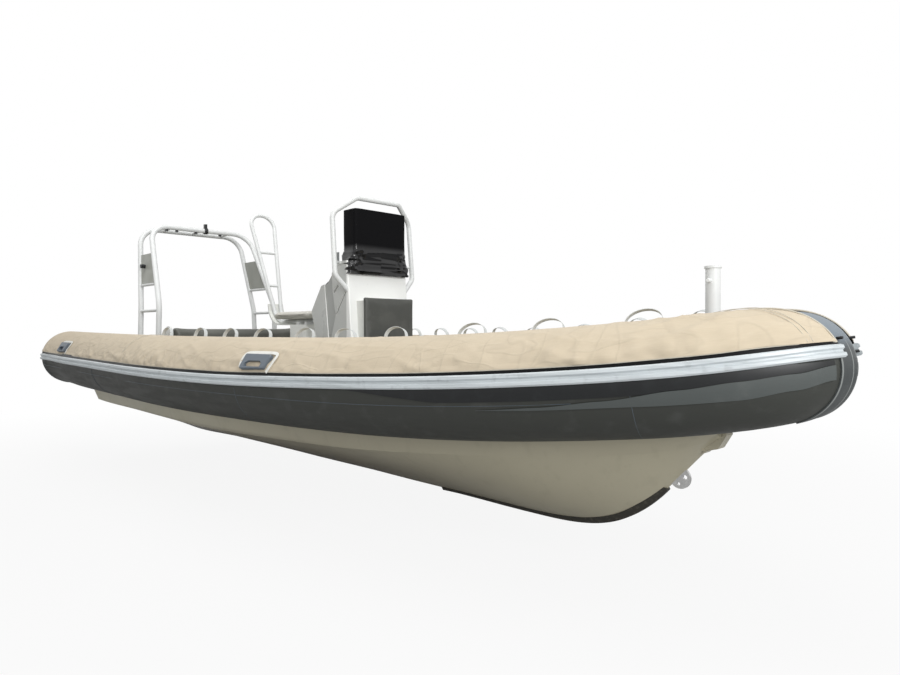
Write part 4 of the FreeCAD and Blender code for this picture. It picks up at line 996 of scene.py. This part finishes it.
with Editing():
    bpy.ops.mesh.remove_doubles(threshold=1e-5)
    bpy.ops.mesh.normals_make_consistent(inside=False)
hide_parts("screen_cover")
finish_piece(shroud, m)


# Cushions: vinyl over foam on boards, laid or buttoned on the seats, each a crowned pad, and the seat pads
# with a piped seam. The pads swell a little from a slightly smaller shape, by cloth pressure.
def vinyl(name, colour, scuff):
    """Vinyl with its pores, worn in patches and scuffed in spots."""
    m, skin, at = new_finish(name)
    pores = at.node("TexVoronoi", Vector=at, Scale=420.0)
    worn = at.noise(5.0, 4.0).ramp(0.45, 0.75)
    tone = tint(worn * 0.35, colour, scuff)
    tone = tint(at.noise(60.0, 3.0).ramp(0.6, 0.8) * 0.2, tone, scuff)
    lay(skin, pores, 0.22, 0.0005, Base_Color=tone, Roughness=worn * 0.14 + 0.48)
    return m


PRESSURE, SWELL_STEPS, SEAT_GAP = 4.0, 20, 0.0005
PIPING_R, PIPING_SHARE, PIPING_TURN, PIPING_IN = 0.0035, 0.62, 0.05, 0.4


def pad(name, node, slack, cap, voxel, material, piped=True, corner=0.030):
    """A cushion in its node's space: rounded box, remeshed, blown up by cloth pressure and capped."""
    low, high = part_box(node)
    seat_z = low[2] + SEAT_GAP
    low, high = low + Vector(slack), high - Vector(slack)
    bpy.ops.mesh.primitive_cube_add(size=1.0, location=(low + high) / 2)
    block = bpy.context.object
    with Editing():
        bpy.ops.transform.resize(value=tuple(high - low))
        bpy.ops.mesh.bevel(offset=min(corner, 0.45 * min(high - low)), segments=4, affect="EDGES")
    bpy.ops.object.transform_apply(location=True, rotation=True, scale=True)
    block.name = block.data.name = name
    remesh = block.modifiers.new("even", "REMESH")
    remesh.mode, remesh.voxel_size = "VOXEL", voxel
    bpy.ops.object.modifier_apply(modifier=remesh.name)
    start = [v.co.copy() for v in block.data.vertices]
    cloth = block.modifiers.new("swell", "CLOTH")
    cloth.settings.use_pressure, cloth.settings.uniform_pressure_force = True, PRESSURE
    cloth.settings.effector_weights.gravity = 0.0
    cloth.collision_settings.use_collision = False
    cloth.point_cache.frame_start, cloth.point_cache.frame_end = 1, SWELL_STEPS
    for step in range(1, SWELL_STEPS + 1):
        bpy.context.scene.frame_set(step)
    bpy.ops.object.modifier_apply(modifier=cloth.name)
    bpy.context.scene.frame_set(1)
    for v, was in zip(block.data.vertices, start):
        move = v.co - was
        if move.length > cap:
            v.co = was + move.normalized() * cap
        v.co.z = max(v.co.z, seat_z)
    smooth = block.modifiers.new("round", "SUBSURF")
    smooth.levels = smooth.render_levels = 1
    bpy.ops.object.modifier_apply(modifier=smooth.name)
    bpy.ops.object.shade_smooth()
    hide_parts(node)
    finish_piece(block, material)
    if piped:
        low, high = low - Vector(slack) * PIPING_IN, high + Vector(slack) * PIPING_IN
        z, r = low.z + (high.z - low.z) * PIPING_SHARE, PIPING_TURN
        loop = [Vector((x, y, z)) for x, y in (
            (low.x + r, low.y), (high.x - r, low.y), (high.x, low.y + r), (high.x, high.y - r),
            (high.x - r, high.y), (low.x + r, high.y), (low.x, high.y - r), (low.x, low.y + r))]
        bead = tidy_join(name + "_piping", [round_line(loop + loop[:2], PIPING_R, 2)])
        finish_piece(bead, material)


charcoal_vinyl = vinyl("charcoal_vinyl", paint(70, 71, 67), paint(112, 112, 106))
bench_vinyl = vinyl("bench_vinyl", paint(88, 89, 83), paint(124, 124, 116))
stone_vinyl = vinyl("stone_vinyl", paint(206, 204, 196), paint(168, 164, 152))
pad("front_seat_pad", "front_seat_cushion", (0.010, 0.006, 0.004), 0.012, 0.009, charcoal_vinyl)
pad("front_back_pad", "front_back_cushion", (0.006, -0.012, -0.009), 0.008, 0.008, charcoal_vinyl, False,
    corner=0.026)
pad("helm_pad", "helm_cushion", (0.008, 0.008, 0.006), 0.010, 0.008, stone_vinyl, corner=0.02)
pad("bench_pad", "bench_cushion", (0.012, 0.012, 0.010), 0.016, 0.013, bench_vinyl)
pad("bench_back_pad", "bench_backrest", (0.010, 0.012, 0.010), 0.014, 0.013, bench_vinyl, False)
